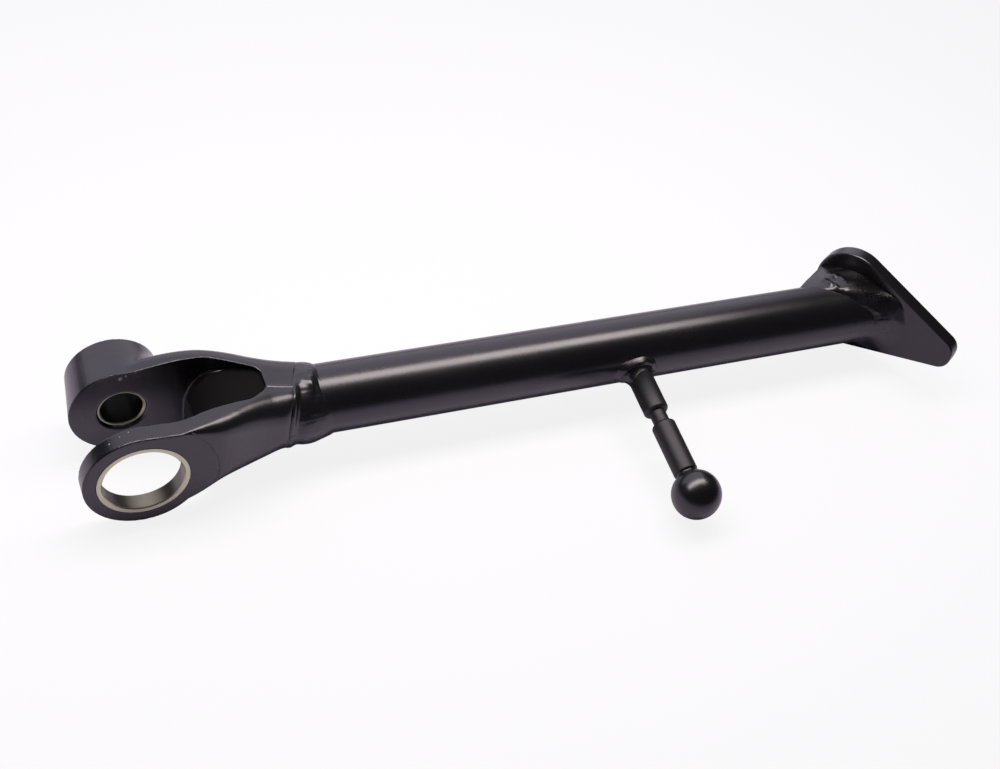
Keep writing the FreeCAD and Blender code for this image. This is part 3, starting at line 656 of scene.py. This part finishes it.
def turned(profile, place, turn, steps=96):
    """A solid of revolution about its own -Y axis from (distance along, radius) points."""
    points = [metres(radius * math.cos(angle), -along, radius * math.sin(angle))
              for along, radius in profile for angle in turns(steps)]
    faces = grid_faces(len(profile), steps, is_ring=False)
    faces.append(tuple(range(steps)))
    faces.append(tuple(range(len(points) - steps, len(points))))
    mesh = bpy.data.meshes.new("turned")
    mesh.from_pydata(points, [], faces)
    mesh.transform(Matrix.Translation(metres(*place)) @ Matrix.Rotation(turn, 4, "X"))
    return outward(mesh)


# Welds

# How far the edge of a weld is sunk in the piece next to it.
SINK = 0.12

# The head weld's radius, from its start under the shoulder to its toe on the tube.
HEAD_WELD_RADII = ((0.0, 15.2), (0.30, 15.6), (0.50, 15.5), (0.66, 15.15), (0.82, 14.7),
                   (0.93, 14.15), (1.0, 13.5))
# The head's outline at the shoulder: direction round the leg, and radius.
SHOULDER_RADII = ((0, 14.9), (20, 15.2), (45, 15.9), (60, 15.9), (80, 15.2), (95, 15.4),
                  (117, 17.0), (125, 17.9), (138, 18.6), (149, 18.4), (160, 17.6), (185, 16.5),
                  (199, 16.9), (215, 17.0), (239, 16.6), (252, 16.0), (268, 15.4), (291, 15.9),
                  (304, 16.0), (327, 15.6), (341, 15.1), (360, 14.9))
SHOULDER_RADIUS = 15.5
# The toe's place on the tube, how much farther it lies where the weld is thickest, and the
# weld's hidden inner radius.
HEAD_TOE_PLACE, HEAD_TOE_MORE, HEAD_ROOT_RADIUS = 73.6, 4.6, 12.4
# The weld is thickest under its near side: direction and spread, place and spread across it.
THICK_ROUND, THICK_ACROSS = (222.0, 62.0), (0.45, 0.33)
# It leaves the head's outline this far past the shoulder, over this length; before the
# shoulder it dives under the head.
FLUSH_PAST, FLUSH_RUN, DIVE_BEFORE, DIVE_SLOPE = 0.1, 3.4, 0.35, 0.9
# A hump, a slanting groove and a dimple on the weld's upper near side: height, direction and
# spread, place and spread along the leg, and slant in millimetres per degree.
WELD_MARKS = ((0.9, (107.0, 13.0), (68.2, 1.8), 0.0), (-0.70, (116.0, 20.0), (71.5, 0.8), 0.02),
              (-0.35, (123.0, 9.0), (69.2, 0.7), 0.0))
SLANT_FROM = 100.0


def wavering(angle, slow, fast, shift=0.0):
    """How far a weld's toe strays along the leg."""
    return slow * math.sin(3.0 * angle + shift) + fast * math.sin(7.0 * angle + 2.0 * shift)


def head_weld_radius(t, x, shoulder, degrees, outline):
    """How far out the head weld lies: flush with the head, a hump, a groove and a toe."""
    radius = eased(HEAD_WELD_RADII, t) + bell(degrees, *THICK_ROUND) * bell(t, *THICK_ACROSS)
    leaving = ease(clamp((x - shoulder - FLUSH_PAST) / FLUSH_RUN))
    radius += (outline - radius) * (1.0 - leaving)
    radius -= DIVE_SLOPE * clamp(shoulder - DIVE_BEFORE - x)
    for height, round_it, along_it, slant in WELD_MARKS:
        unslanted = x - slant * (degrees - SLANT_FROM)
        radius += height * bell(degrees, *round_it) * bell(unslanted, *along_it)
    return radius


def head_weld_sections(steps=240, across=44):
    """The bead between head and tube."""
    sections, along = [], []
    for angle in turns(steps):
        degrees = math.degrees(angle)
        out = from_leg(angle)
        shoulder = SHOULDER_PLACE + SHOULDER_SLOPE * SHOULDER_RADIUS * out.y
        start = shoulder - 1.0
        toe = (HEAD_TOE_PLACE + HEAD_TOE_MORE * bell(degrees, *THICK_ROUND)
               + wavering(angle, 0.3, 0.2))
        outline = table(SHOULDER_RADII, degrees) - SINK
        if out.z > 0.0:
            outline += full_shoulder(shoulder, outline * out.y)
        loop = []
        for k in range(across + 1):
            t = k / across
            x = start + t * (toe - start)
            radius = head_weld_radius(t, x, shoulder, degrees, outline)
            loop.append(radius * out + along_leg(x))
        loop += [HEAD_ROOT_RADIUS * out + along_leg(start + t * (toe - start))
                 for t in (0.8, 0.2)]
        sections.append(loop)
        along.append(16.0 * angle)
    masks = [math.sin(math.pi * k / across) for k in range(across + 1)]
    return sections, along, masks + [0.0, 0.0]


# The peg weld's reach on the tube, towards the foot and towards the head, and what it lacks
# there on the underside; then its reach up and down, each with how square that side is.
BEAD_TO_FOOT, BEAD_TO_HEAD, BEAD_TRIM = 8.2, 11.6, 1.4
BEAD_UP, BEAD_DOWN = (9.0, 3.2), (8.8, 2.0)
BEAD_TOE_RADIUS = 13.8
# How far it climbs the peg, and how much more on the peg's two sides along the leg.
BEAD_CLIMB, BEAD_SIDE_CLIMB = 3.6, 2.0
# How hollow it is between toe and peg: 0 follows the corner, 1 would be straight.
BEAD_HOLLOW = 0.25
# Its ledge and lumps: height, direction round the peg, spread. They lie on its rim, and a
# low crest goes all round; both are given by place and spread from toe to peg.
BEAD_LEDGE = (1.4, 112.0, 60.0)
BEAD_LUMPS = ((0.35, 138.0, 14.0), (0.35, 92.0, 12.0), (0.3, 52.0, 14.0))
BEAD_RIM, BEAD_CREST, BEAD_CREST_HEIGHT = (0.27, 0.22), (0.25, 0.15), 0.25
# The hidden inner corners: distance past the tube's surface and past the peg's.
BEAD_ROOT = ((2.0, -1.6), (-1.6, -1.6), (-1.6, 1.0))


def peg_weld_sections(steps=160, across=26):
    """The hollow bead round the peg's foot, lumpy on its upper left side."""
    axis = -from_leg(PEG_LEAN)
    side = Vector((0.0, axis.z, -axis.y))
    foot = along_leg(PEG_PLACE)
    sections, along = [], []
    for angle in turns(steps):
        cos, sin = math.cos(angle), math.sin(angle)
        degrees = math.degrees(angle)
        wide = BEAD_TO_FOOT if cos > 0.0 else BEAD_TO_HEAD - BEAD_TRIM * max(0.0, -sin)
        high, power = BEAD_UP if sin > 0.0 else BEAD_DOWN
        reach = ((abs(cos) / wide) ** power + (abs(sin) / high) ** power) ** (-1.0 / power)
        reach += 0.25 * math.sin(5.0 * angle)
        around = math.pi + PEG_LEAN - reach * sin / TUBE_RADIUS
        toe = along_leg(PEG_PLACE + reach * cos) + BEAD_TOE_RADIUS * from_leg(around)
        out = along_leg(cos) + sin * side
        depth = math.sqrt(TUBE_RADIUS ** 2 - (PEG_RADIUS * sin) ** 2)
        corner = foot + depth * axis + PEG_RADIUS * out
        climb = BEAD_CLIMB + BEAD_SIDE_CLIMB * cos * cos
        last = foot + (depth + climb) * axis + (PEG_RADIUS - SINK) * out
        bulge = corner + BEAD_HOLLOW * (0.5 * (toe + last) - corner)
        swell = sum(height * bell(degrees, middle, spread)
                    for height, middle, spread in (BEAD_LEDGE, *BEAD_LUMPS))

        loop = []
        for k in range(across + 1):
            t = k / across
            rim = bell(t, *BEAD_RIM) * min(1.0, 12.0 * t)
            lift = swell * rim + BEAD_CREST_HEIGHT * bell(t, *BEAD_CREST)
            loop.append(curve_point(toe, bulge, last, t) + lift * axis + 0.35 * lift * out)
        loop += [foot + (depth + past_tube) * axis + (PEG_RADIUS + past_peg) * out
                 for past_tube, past_peg in BEAD_ROOT]
        sections.append(loop)
        along.append(8.0 * angle)
    masks = [math.sin(math.pi * min(1.0, 1.25 * k / across)) for k in range(across + 1)]
    return sections, along, masks + [0.0, 0.0, 0.0]


# The foot fillet's toe on the tube and its waist: place, lean, shift towards the heel, half
# widths. On the heel's upper side the waist rises and bulges: how much, direction, spread.
TOE_PLACE, TOE_LEAN, TOE_RADIUS = 312.0, math.radians(49.0), 13.85
WAIST_PLACE, WAIST_LEAN, WAIST_SHIFT = 322.5, math.radians(41.0), 1.6
WAIST_WIDE, WAIST_HIGH = 17.3, 15.6
WAIST_RISE, WAIST_RISE_ROUND = 1.2, (40.0, 35.0)
WAIST_BULGE, WAIST_BULGE_ROUND = 1.3, (14.0, 26.0)
WAIST_BULGE_WAY = Vector((-0.5, 0.8, 0.3))
# On top the fillet starts level with the tube: direction and spread of that, and the place
# and radius of the two points that steer it there.
LEVEL_ROUND = (84.0, 30.0)
LEVEL_NEAR, LEVEL_FAR = (313.0, 16.3), (318.0, 16.7)
# How deep the fillet ends in the plate, and how far it stays inside the plate's outline.
PLATE_SINK, PLATE_RIM = 0.25, 1.0
# How far out the fillet reaches on the plate, in degrees round from the heel and millimetres.
FOOT_REACH = ((0, 25.0), (15, 26.5), (23, 26.8), (33, 24.0), (45, 21.0), (60, 19.2), (75, 17.4),
              (90, 16.3), (105, 16.6), (120, 18.2), (135, 20.6), (150, 22.0), (180, 22.5),
              (222, 22.8), (247, 20.0), (270, 19.0), (300, 20.0), (330, 23.0), (360, 25.0))
# The fillet's lumps: place along the leg, direction round it, width, height.
FOOT_LUMPS = ((316.4, 60.0, 1.3, 1.3), (318.2, 69.0, 1.0, 0.6), (310.8, 60.0, 1.0, 0.6),
              (311.6, 72.0, 1.0, 0.9), (312.6, 83.0, 0.9, 0.6), (313.9, 66.0, 0.9, -0.6))
LUMP_HALF = 1.7
# The fillet's flat side: the directions that it lies between and its fades there, how far it
# may dig in and stand out, and the share that fades at the plate.
FLAT_SPAN, FLAT_DIG, FLAT_STAND, FLAT_END = (112.0, 176.0, 14.0, 16.0), 1.0, 0.55, 0.08
# It is this far out at one place along the leg, rises from there, and faces this way (Y, Z).
FLAT_PLACE, FLAT_OUT, FLAT_RISE, FLAT_WAY = 319.0, 10.1, 0.33, (-0.89, 0.32)
FOOT_ROOT_RADIUS = 13.0


def plate_outline(inset):
    """The plate's outline with rounded corners, drawn in by an inset, anticlockwise."""
    heel, heel_half, heel_round = (size - inset for size in PLATE_HEEL)
    tip, tip_half, tip_round = (size - inset for size in PLATE_TIP)
    corners = [Vector((heel, heel_half)), Vector((-tip, tip_half)),
               Vector((-tip, -tip_half)), Vector((heel, -heel_half))]
    radii = (heel_round, tip_round, tip_round, heel_round)
    outline = []
    for index, (corner, radius) in enumerate(zip(corners, radii)):
        back = (corners[index - 1] - corner).normalized()
        ahead = (corners[(index + 1) % 4] - corner).normalized()
        half = 0.5 * back.angle(ahead)
        first = corner + radius / math.tan(half) * back
        last = corner + radius / math.tan(half) * ahead
        centre = corner + radius / math.sin(half) * (back + ahead).normalized()
        for step in range(9):
            spoke = (first - centre).lerp(last - centre, step / 8)
            outline.append(centre + radius * spoke.normalized())
    return outline


def outline_reach(outline):
    """How far the outline lies from the leg's axis, for each degree round it."""
    reach = []
    for angle in turns(360):
        way = Vector((math.cos(angle), math.sin(angle)))
        best = math.inf
        for first, last in zip(outline, outline[1:] + outline[:1]):
            edge = last - first
            cross = way.x * edge.y - way.y * edge.x
            if abs(cross) < 1e-9:
                continue
            far = (first.x * edge.y - first.y * edge.x) / cross
            part = (first.x * way.y - first.y * way.x) / cross
            if far > 0.0 and -1e-6 <= part <= 1.0 + 1e-6:
                best = min(best, far)
        reach.append(best)
    return reach


def foot_ring(place, lean, shift, wide, high, angle):
    """A point on a leaning oval round the leg."""
    y = shift + wide * math.cos(angle)
    return Vector((place - math.tan(lean) * y, y, high * math.sin(angle)))


def foot_curve(angle):
    """The four points that steer the fillet from its toe on the tube to the plate."""
    degrees = math.degrees(angle)
    stray = wavering(angle, 0.4, 0.2, 0.5)
    first = foot_ring(TOE_PLACE + stray, TOE_LEAN, 0.0, TOE_RADIUS, TOE_RADIUS, angle)
    high = WAIST_HIGH + WAIST_RISE * bell(degrees, *WAIST_RISE_ROUND)
    waist = foot_ring(WAIST_PLACE, WAIST_LEAN, WAIST_SHIFT, WAIST_WIDE, high, angle)
    waist += WAIST_BULGE * bell(degrees, *WAIST_BULGE_ROUND) * WAIST_BULGE_WAY
    far = table(FOOT_REACH, degrees)
    last = foot_ring(FOOT_PLACE + PLATE_SINK, FOOT_TILT, 0.0, far * math.cos(FOOT_TILT), far,
                     angle)
    middle = 2.0 * waist - 0.5 * (first + last)
    level = bell(degrees, *LEVEL_ROUND)
    near_place, near_radius = LEVEL_NEAR
    far_place, far_radius = LEVEL_FAR
    near = first.lerp(middle, 2.0 / 3.0).lerp(
        along_leg(near_place + stray) + near_radius * from_leg(angle), level)
    far_side = last.lerp(middle, 2.0 / 3.0).lerp(
        along_leg(far_place) + far_radius * from_leg(angle), level)
    return first, near, far_side, last


def held_on_plate(point, reach):
    """The point, drawn in towards the leg's axis where it lies past the outline's reach."""
    tilt_cos, tilt_sin = math.cos(FOOT_TILT), math.sin(FOOT_TILT)
    from_foot = point - along_leg(FOOT_PLACE)
    off_plate = from_foot.x * tilt_cos + from_foot.y * tilt_sin
    on_plate = -from_foot.x * tilt_sin + from_foot.y * tilt_cos
    direction = math.degrees(math.atan2(point.z, on_plate)) % 360.0
    low = int(direction) % 360
    limit = reach[low] + (reach[(low + 1) % 360] - reach[low]) * (direction % 1.0)
    distance = math.hypot(on_plate, point.z)
    if distance <= limit:
        return point
    shrink = limit / distance
    on_plate *= shrink
    return Vector((FOOT_PLACE + off_plate * tilt_cos - on_plate * tilt_sin,
                   off_plate * tilt_sin + on_plate * tilt_cos, point.z * shrink))


def flat_radius(x, degrees):
    """How far out the fillet's flat side lies."""
    angle = math.radians(degrees)
    facing = FLAT_WAY[1] * math.sin(angle) + FLAT_WAY[0] * math.cos(angle)
    return (FLAT_RISE * (x - FLAT_PLACE) + FLAT_OUT) / facing


def flattened(point, turn, t):
    """The point, moved to the flat side where it lies in that side's range."""
    flat = min(within(turn, *FLAT_SPAN), (1.0 - t) / FLAT_END)
    if flat <= 0.0:
        return point
    radius = math.hypot(point.y, point.z)
    flat_at = min(flat_radius(point.x, turn), radius + FLAT_STAND)
    change = max(-FLAT_DIG, flat_at - radius)
    return point + flat * change / radius * Vector((0.0, point.y, point.z))


def lumpy(point, turn):
    """The point, lifted by the lumps near it."""
    for place, way, width, height in FOOT_LUMPS:
        round_it = math.radians(turn - way) * TUBE_RADIUS
        lump = height * bell(point.x, place, width) * bell(round_it, 0.0, LUMP_HALF)
        point = point + lump * (from_leg(math.radians(way)) - along_leg(0.3))
    return point


def foot_weld_sections(steps=300, across=44):
    """The long fillet from the tube out to the plate."""
    reach = outline_reach(plate_outline(PLATE_RIM))
    sections, along = [], []
    for angle in turns(steps):
        curve = foot_curve(angle)
        loop = []
        for k in range(across + 1):
            t = k / across
            point = held_on_plate(long_curve_point(*curve, t), reach)
            turn = math.degrees(math.atan2(point.z, point.y))
            loop.append(lumpy(flattened(point, turn, t), turn))
        inner = FOOT_ROOT_RADIUS * from_leg(angle)
        on_plate = FOOT_PLACE + 0.2 - math.tan(FOOT_TILT) * inner.y
        loop += [inner + along_leg(on_plate), inner + along_leg(curve[0].x + 1.0)]
        sections.append(loop)
        along.append(17.0 * angle)
    masks = [bell(k / across, 0.32, 0.22) for k in range(across + 1)]
    masks[0] = masks[-1] = 0.0
    return sections, along, masks + [0.0, 0.0]


def is_thin_coat_shade_spot(place):
    """Whether a place on the foot weld, in millimetres, is in a ragged spot of thin coat and
    painted shade.
    """
    inside = max((SPOT_EDGE * radius - math.dist(place, centre))
                 / ((SPOT_EDGE - SPOT_CORE) * radius) for centre, radius in THIN_COAT_SHADE_SPOTS)
    ragged = 1.2 * noise.noise([1.3 * c for c in place])
    return SPOT_WEIGHT * min(1.0, inside) + ragged > 1.0


def weld_blank(label, sections, along, masks):
    """A closed ring of sections; each point knows its place along the bead and its relief."""
    rows, columns = len(sections), len(sections[0])
    mesh = bpy.data.meshes.new(label)
    mesh.from_pydata([MM * point for loop in sections for point in loop], [],
                     grid_faces(rows, columns, is_ring=True))
    outward(mesh)
    place = mesh.attributes.new("along", "FLOAT", "POINT")
    place.data.foreach_set("value", [MM * a for a in along for column in range(columns)])
    relief = mesh.attributes.new("relief", "FLOAT", "POINT")
    relief.data.foreach_set("value", [m for row in range(rows) for m in masks])
    return new_object(label + "_blank", mesh)


def bead_tree():
    """Geometry nodes that give a weld blank its ripples, lumps and finish."""
    tree = bpy.data.node_groups.new("weld_bead", "GeometryNodeTree")
    sockets = (("Blank", "INPUT", "Geometry"), ("Ripple Pitch", "INPUT", "Float"),
               ("Ripple Height", "INPUT", "Float"), ("Lump Size", "INPUT", "Float"),
               ("Lump Height", "INPUT", "Float"), ("Seed", "INPUT", "Float"),
               ("Finish", "INPUT", "Material"), ("Bead", "OUTPUT", "Geometry"))
    for name, side, kind in sockets:
        tree.interface.new_socket(name=name, in_out=side, socket_type="NodeSocket" + kind)
    given = add(tree, "NodeGroupInput").outputs
    along, relief = (
        add(tree, "GeometryNodeInputNamedAttribute", {"Name": name},
            data_type="FLOAT").outputs["Attribute"] for name in ("along", "relief"))

    place = add(tree, "GeometryNodeInputPosition").outputs["Position"]
    lumps = add(tree, "ShaderNodeTexNoise", {
        "Vector": place, "W": given["Seed"], "Detail": 1.5,
        "Scale": maths(tree, "DIVIDE", 1.0, given["Lump Size"])}, noise_dimensions="4D")
    uneven = maths(tree, "SUBTRACT", lumps.outputs["Fac"], 0.5)
    lump = maths(tree, "MULTIPLY", maths(tree, "MULTIPLY", uneven, 3.0), given["Lump Height"])
    count = maths(tree, "DIVIDE", along, given["Ripple Pitch"])
    phase = maths(tree, "ADD", maths(tree, "MULTIPLY", count, 2.0 * math.pi),
                  maths(tree, "MULTIPLY", uneven, 9.0))
    ripple = maths(tree, "MULTIPLY", maths(tree, "SINE", phase), given["Ripple Height"])
    height = maths(tree, "MULTIPLY", maths(tree, "ADD", ripple, lump), relief)
    outwards = add(tree, "GeometryNodeInputNormal").outputs["Normal"]
    lift = add(tree, "ShaderNodeVectorMath", {0: outwards, "Scale": height}, operation="SCALE")

    moved = add(tree, "GeometryNodeSetPosition", {
        "Geometry": given["Blank"], "Offset": lift.outputs["Vector"]})
    real = add(tree, "GeometryNodeRealizeInstances", {"Geometry": moved.outputs["Geometry"]})
    finished = add(tree, "GeometryNodeSetMaterial", {
        "Geometry": real.outputs["Geometry"], "Material": given["Finish"]})
    add(tree, "NodeGroupOutput", {"Bead": finished.outputs["Geometry"]})
    return tree


def bead_mesh(blank, tree, inputs):
    """The blank after the tree's work, as a plain mesh."""
    modifier = blank.modifiers.new("bead", "NODES")
    modifier.node_group = tree
    for item in tree.interface.items_tree:
        if item.in_out == "INPUT" and item.name in inputs:
            modifier[item.identifier] = inputs[item.name]
    mesh = evaluated_mesh(blank)
    for name in ("along", "relief"):
        mesh.attributes.remove(mesh.attributes[name])
    return mesh


# Bushes

def bush(label, node, bore_radius, end_steel, bore_steel):
    """A turned bush, its bore and skin round and its ends flat."""
    thing = finish_piece(label, joined_copy(node), node, STEEL, end_steel, bore_steel)
    for face in thing.data.polygons:
        is_round = abs(face.normal.y) < 0.1
        middle = face.center / MM
        in_bore = math.hypot(middle.x, middle.z) < bore_radius + 0.1
        face.use_smooth = is_round
        face.material_index = int(is_round and in_bore)


# Stage, in metres

FLOOR_HALF, FLOOR_GAP = 1.6, 0.0002
# Both lights: place, where it points, width, depth, colour.
SOFTBOX = ((0.12, 0.050, 0.365), (0.12, 0.045, 0.0), 0.64, 0.14, (1.0, 0.95, 0.80))
REAR_PANEL = ((0.1, 1.4, 0.95), (0.1, 0.0, 0.35), 2.6, 1.9, (0.97, 0.92, 1.0))
CAMERA_RIGHT = Vector((0.91006, -0.37667, 0.17292))
CAMERA_UP = Vector((0.16895, 0.71813, 0.67509))
CAMERA_SHIFT = (-0.03, 0.05)
SENSOR = 36.0
NEAREST_SEEN = 0.01


def aimed(place, right, up):
    """The matrix of a light or camera from its place and its own right and up."""
    turn = Matrix((right, up, right.cross(up))).transposed().to_4x4()
    return Matrix.Translation(place) @ turn


def area_light(name, power, place, aim, width, depth, colour):
    """A rectangular softbox that points at a place, unseen by the camera."""
    data = bpy.data.lights.new(name, "AREA")
    data.shape = "RECTANGLE"
    data.size = width
    data.size_y = depth
    data.energy = power
    data.color = colour
    light = new_object(name, data)
    back = (Vector(place) - Vector(aim)).normalized()
    right = Vector((1.0, 0.0, 0.0))
    right = (right - right.dot(back) * back).normalized()
    light.matrix_world = aimed(place, right, back.cross(right))
    light.visible_camera = False


def make_floor():
    """A square floor just under the part."""
    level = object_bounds()[0].z - FLOOR_GAP
    corners = [(x * FLOOR_HALF, y * FLOOR_HALF, level)
               for x, y in ((-1, -1), (1, -1), (1, 1), (-1, 1))]
    mesh = bpy.data.meshes.new("floor")
    mesh.from_pydata(corners, [], [(0, 1, 2, 3)])
    give_materials(mesh, floor_material())
    new_object("floor", mesh)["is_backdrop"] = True


def make_camera(place, lens):
    """The photo's camera."""
    data = bpy.data.cameras.new("camera")
    data.sensor_width = SENSOR
    data.sensor_fit = "HORIZONTAL"
    data.lens = lens
    data.clip_start = NEAREST_SEEN
    data.shift_x, data.shift_y = CAMERA_SHIFT
    camera = new_object("camera", data)
    camera.matrix_world = aimed(place, CAMERA_RIGHT, CAMERA_UP)
    bpy.context.scene.camera = camera


# Operators

class SIDESTAND_OT_build_head(bpy.types.Operator):
    """Skin the forged head with soft edges, its flash line and its chips"""
    bl_idname = "side_stand.build_head"
    bl_label = "Build the head"

    def execute(self, context):
        forging = context.scene.side_stand_forging
        paint = context.scene.side_stand_coat
        skin = fine_skin(joined_copy("fork_head"), forging.cell, forging.softness)
        uneven_head(skin, forging.waviness)
        mesh = kept_inside(thinned(skin, forging.triangles), "fork_head")
        coat = coat_material(paint, "chipped_coat", HEAD_CHIPS)
        # The recess floor gets a rough thin coat that reflects far less, painted shade in the
        # recess.
        dull = coat_material(paint, "thin_coat_and_painted_shade", dulling=RECESS_DULLING_AND_SHADE)
        head = finish_piece("forged_head", mesh, "fork_head", COAT, coat, dull)
        for face in head.data.polygons:
            face.material_index = int(is_recess_floor(face))
        return {"FINISHED"}


class SIDESTAND_OT_build_leg(bpy.types.Operator):
    """Coat the tube and the foot plate"""
    bl_idname = "side_stand.build_leg"
    bl_label = "Build the tube and the foot plate"

    def execute(self, context):
        coat = coat_material(context.scene.side_stand_coat, "powder_coat")
        for name in ("leg_tube", "foot_plate"):
            give_materials(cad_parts[name].data, coat)
        return {"FINISHED"}


class SIDESTAND_OT_build_peg(bpy.types.Operator):
    """Turn the spring peg with its groove and ball"""
    bl_idname = "side_stand.build_peg"
    bl_label = "Build the spring peg"

    def execute(self, context):
        paint = context.scene.side_stand_coat
        mesh = turned(peg_profile(), (PEG_PLACE, 0.0, 0.0), PEG_LEAN)
        matt = coat_material(paint, "peg_coat", dulling=PEG_DULLING)
        coat = coat_material(paint, "ball_coat")
        peg = finish_piece("ball_peg", mesh, "spring_peg", COAT, matt, coat)
        for face in peg.data.polygons:
            face.material_index = int(face.center.y < -MM * PIN_END)
        return {"FINISHED"}


class SIDESTAND_OT_build_welds(bpy.types.Operator):
    """Lay the three beads"""
    bl_idname = "side_stand.build_welds"
    bl_label = "Build the welds"

    def execute(self, context):
        weld = context.scene.side_stand_weld
        paint = context.scene.side_stand_coat
        coat = coat_material(paint, "bead_coat")
        thin = coat_material(paint, "thin_bead_shade_coat", gloss=THIN_SHADE_GLOSS)
        tree = bead_tree()
        inputs = {"Ripple Pitch": weld.ripple_pitch, "Ripple Height": weld.ripple_height,
                  "Lump Size": weld.lump_size, "Lump Height": weld.lump_height,
                  "Seed": float(weld.seed), "Finish": coat}
        beads = (("head_bead", "head_weld", head_weld_sections(), (coat,)),
                 ("peg_bead", "peg_weld", peg_weld_sections(), (coat,)),
                 ("foot_bead", "foot_weld", foot_weld_sections(), (coat, thin)))
        for label, node, sections, coats in beads:
            mesh = bead_mesh(weld_blank(label, *sections), tree, inputs)
            bead = finish_piece(label, mesh, node, COAT, *coats)
        # The last one is the foot bead, the only one with spots of thin coat that reflect little,
        # painted shade in its corner.
        for face in bead.data.polygons:
            face.material_index = int(is_thin_coat_shade_spot(face.center / MM))
        return {"FINISHED"}


class SIDESTAND_OT_build_bushes(bpy.types.Operator):
    """Turn both bushes"""
    bl_idname = "side_stand.build_bushes"
    bl_label = "Build the bushes"

    def execute(self, context):
        steel = context.scene.side_stand_steel
        bright = steel_material(steel, "turned_end", 1.35, cast=STRAW)
        # The large bush's bore: the same steel drawn far darker than the ends, painted shade
        # inside the bore.
        inside = steel_material(steel, "bore_steel_painted_shade", 0.5)
        dull = steel_material(steel, "dull_end", 0.9, cast=STRAW)
        # The small bush's bore: the same steel drawn near black and not metallic, painted shade
        # deep in the bore.
        shade_painted_steel = steel_material(steel, "bore_in_painted_shade", 0.012, metallic=0.0)
        bush("large_sleeve", "large_bush", LARGE_BORE, bright, inside)
        bush("small_sleeve", "small_bush", SMALL_BORE, dull, shade_painted_steel)
        return {"FINISHED"}


class SIDESTAND_OT_build_stage(bpy.types.Operator):
    """Make the floor, the lights and the camera"""
    bl_idname = "side_stand.build_stage"
    bl_label = "Build the stage"

    def execute(self, context):
        settings = context.scene.side_stand_stage
        make_floor()
        make_world(settings.room_light)
        area_light("softbox", settings.key_power, *SOFTBOX)
        area_light("rear_panel", settings.back_power, *REAR_PANEL)
        make_camera(settings.place, settings.lens)
        context.scene.view_settings.view_transform = "Standard"
        return {"FINISHED"}


class SIDESTAND_PT_panel(bpy.types.Panel):
    bl_label = "Side Stand"
    bl_idname = "SIDESTAND_PT_panel"
    bl_space_type = "VIEW_3D"
    bl_region_type = "UI"
    bl_category = "Side Stand"

    def draw(self, context):
        layout = self.layout
        for group in SETTINGS:
            holder = getattr(context.scene, group)
            for name in holder.__annotations__:
                layout.prop(holder, name)
        for operator in OPERATORS:
            layout.operator(operator.bl_idname)


SETTINGS = {
    "side_stand_coat": CoatSettings,
    "side_stand_steel": SteelSettings,
    "side_stand_forging": ForgingSettings,
    "side_stand_weld": WeldSettings,
    "side_stand_stage": StageSettings,
}

OPERATORS = (
    SIDESTAND_OT_build_head,
    SIDESTAND_OT_build_leg,
    SIDESTAND_OT_build_peg,
    SIDESTAND_OT_build_welds,
    SIDESTAND_OT_build_bushes,
    SIDESTAND_OT_build_stage,
)


def register():
    for group, kind in SETTINGS.items():
        bpy.utils.register_class(kind)
        setattr(bpy.types.Scene, group, PointerProperty(type=kind))
    for operator in OPERATORS:
        bpy.utils.register_class(operator)
    bpy.utils.register_class(SIDESTAND_PT_panel)


def unregister():
    bpy.utils.unregister_class(SIDESTAND_PT_panel)
    for operator in reversed(OPERATORS):
        bpy.utils.unregister_class(operator)
    for group, kind in SETTINGS.items():
        delattr(bpy.types.Scene, group)
        bpy.utils.unregister_class(kind)


def main():
    register()
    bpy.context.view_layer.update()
    bpy.ops.side_stand.build_head()
    bpy.ops.side_stand.build_leg()
    bpy.ops.side_stand.build_peg()
    bpy.ops.side_stand.build_welds()
    bpy.ops.side_stand.build_bushes()
    bpy.ops.side_stand.build_stage()


if __name__ == "__main__":
    main()
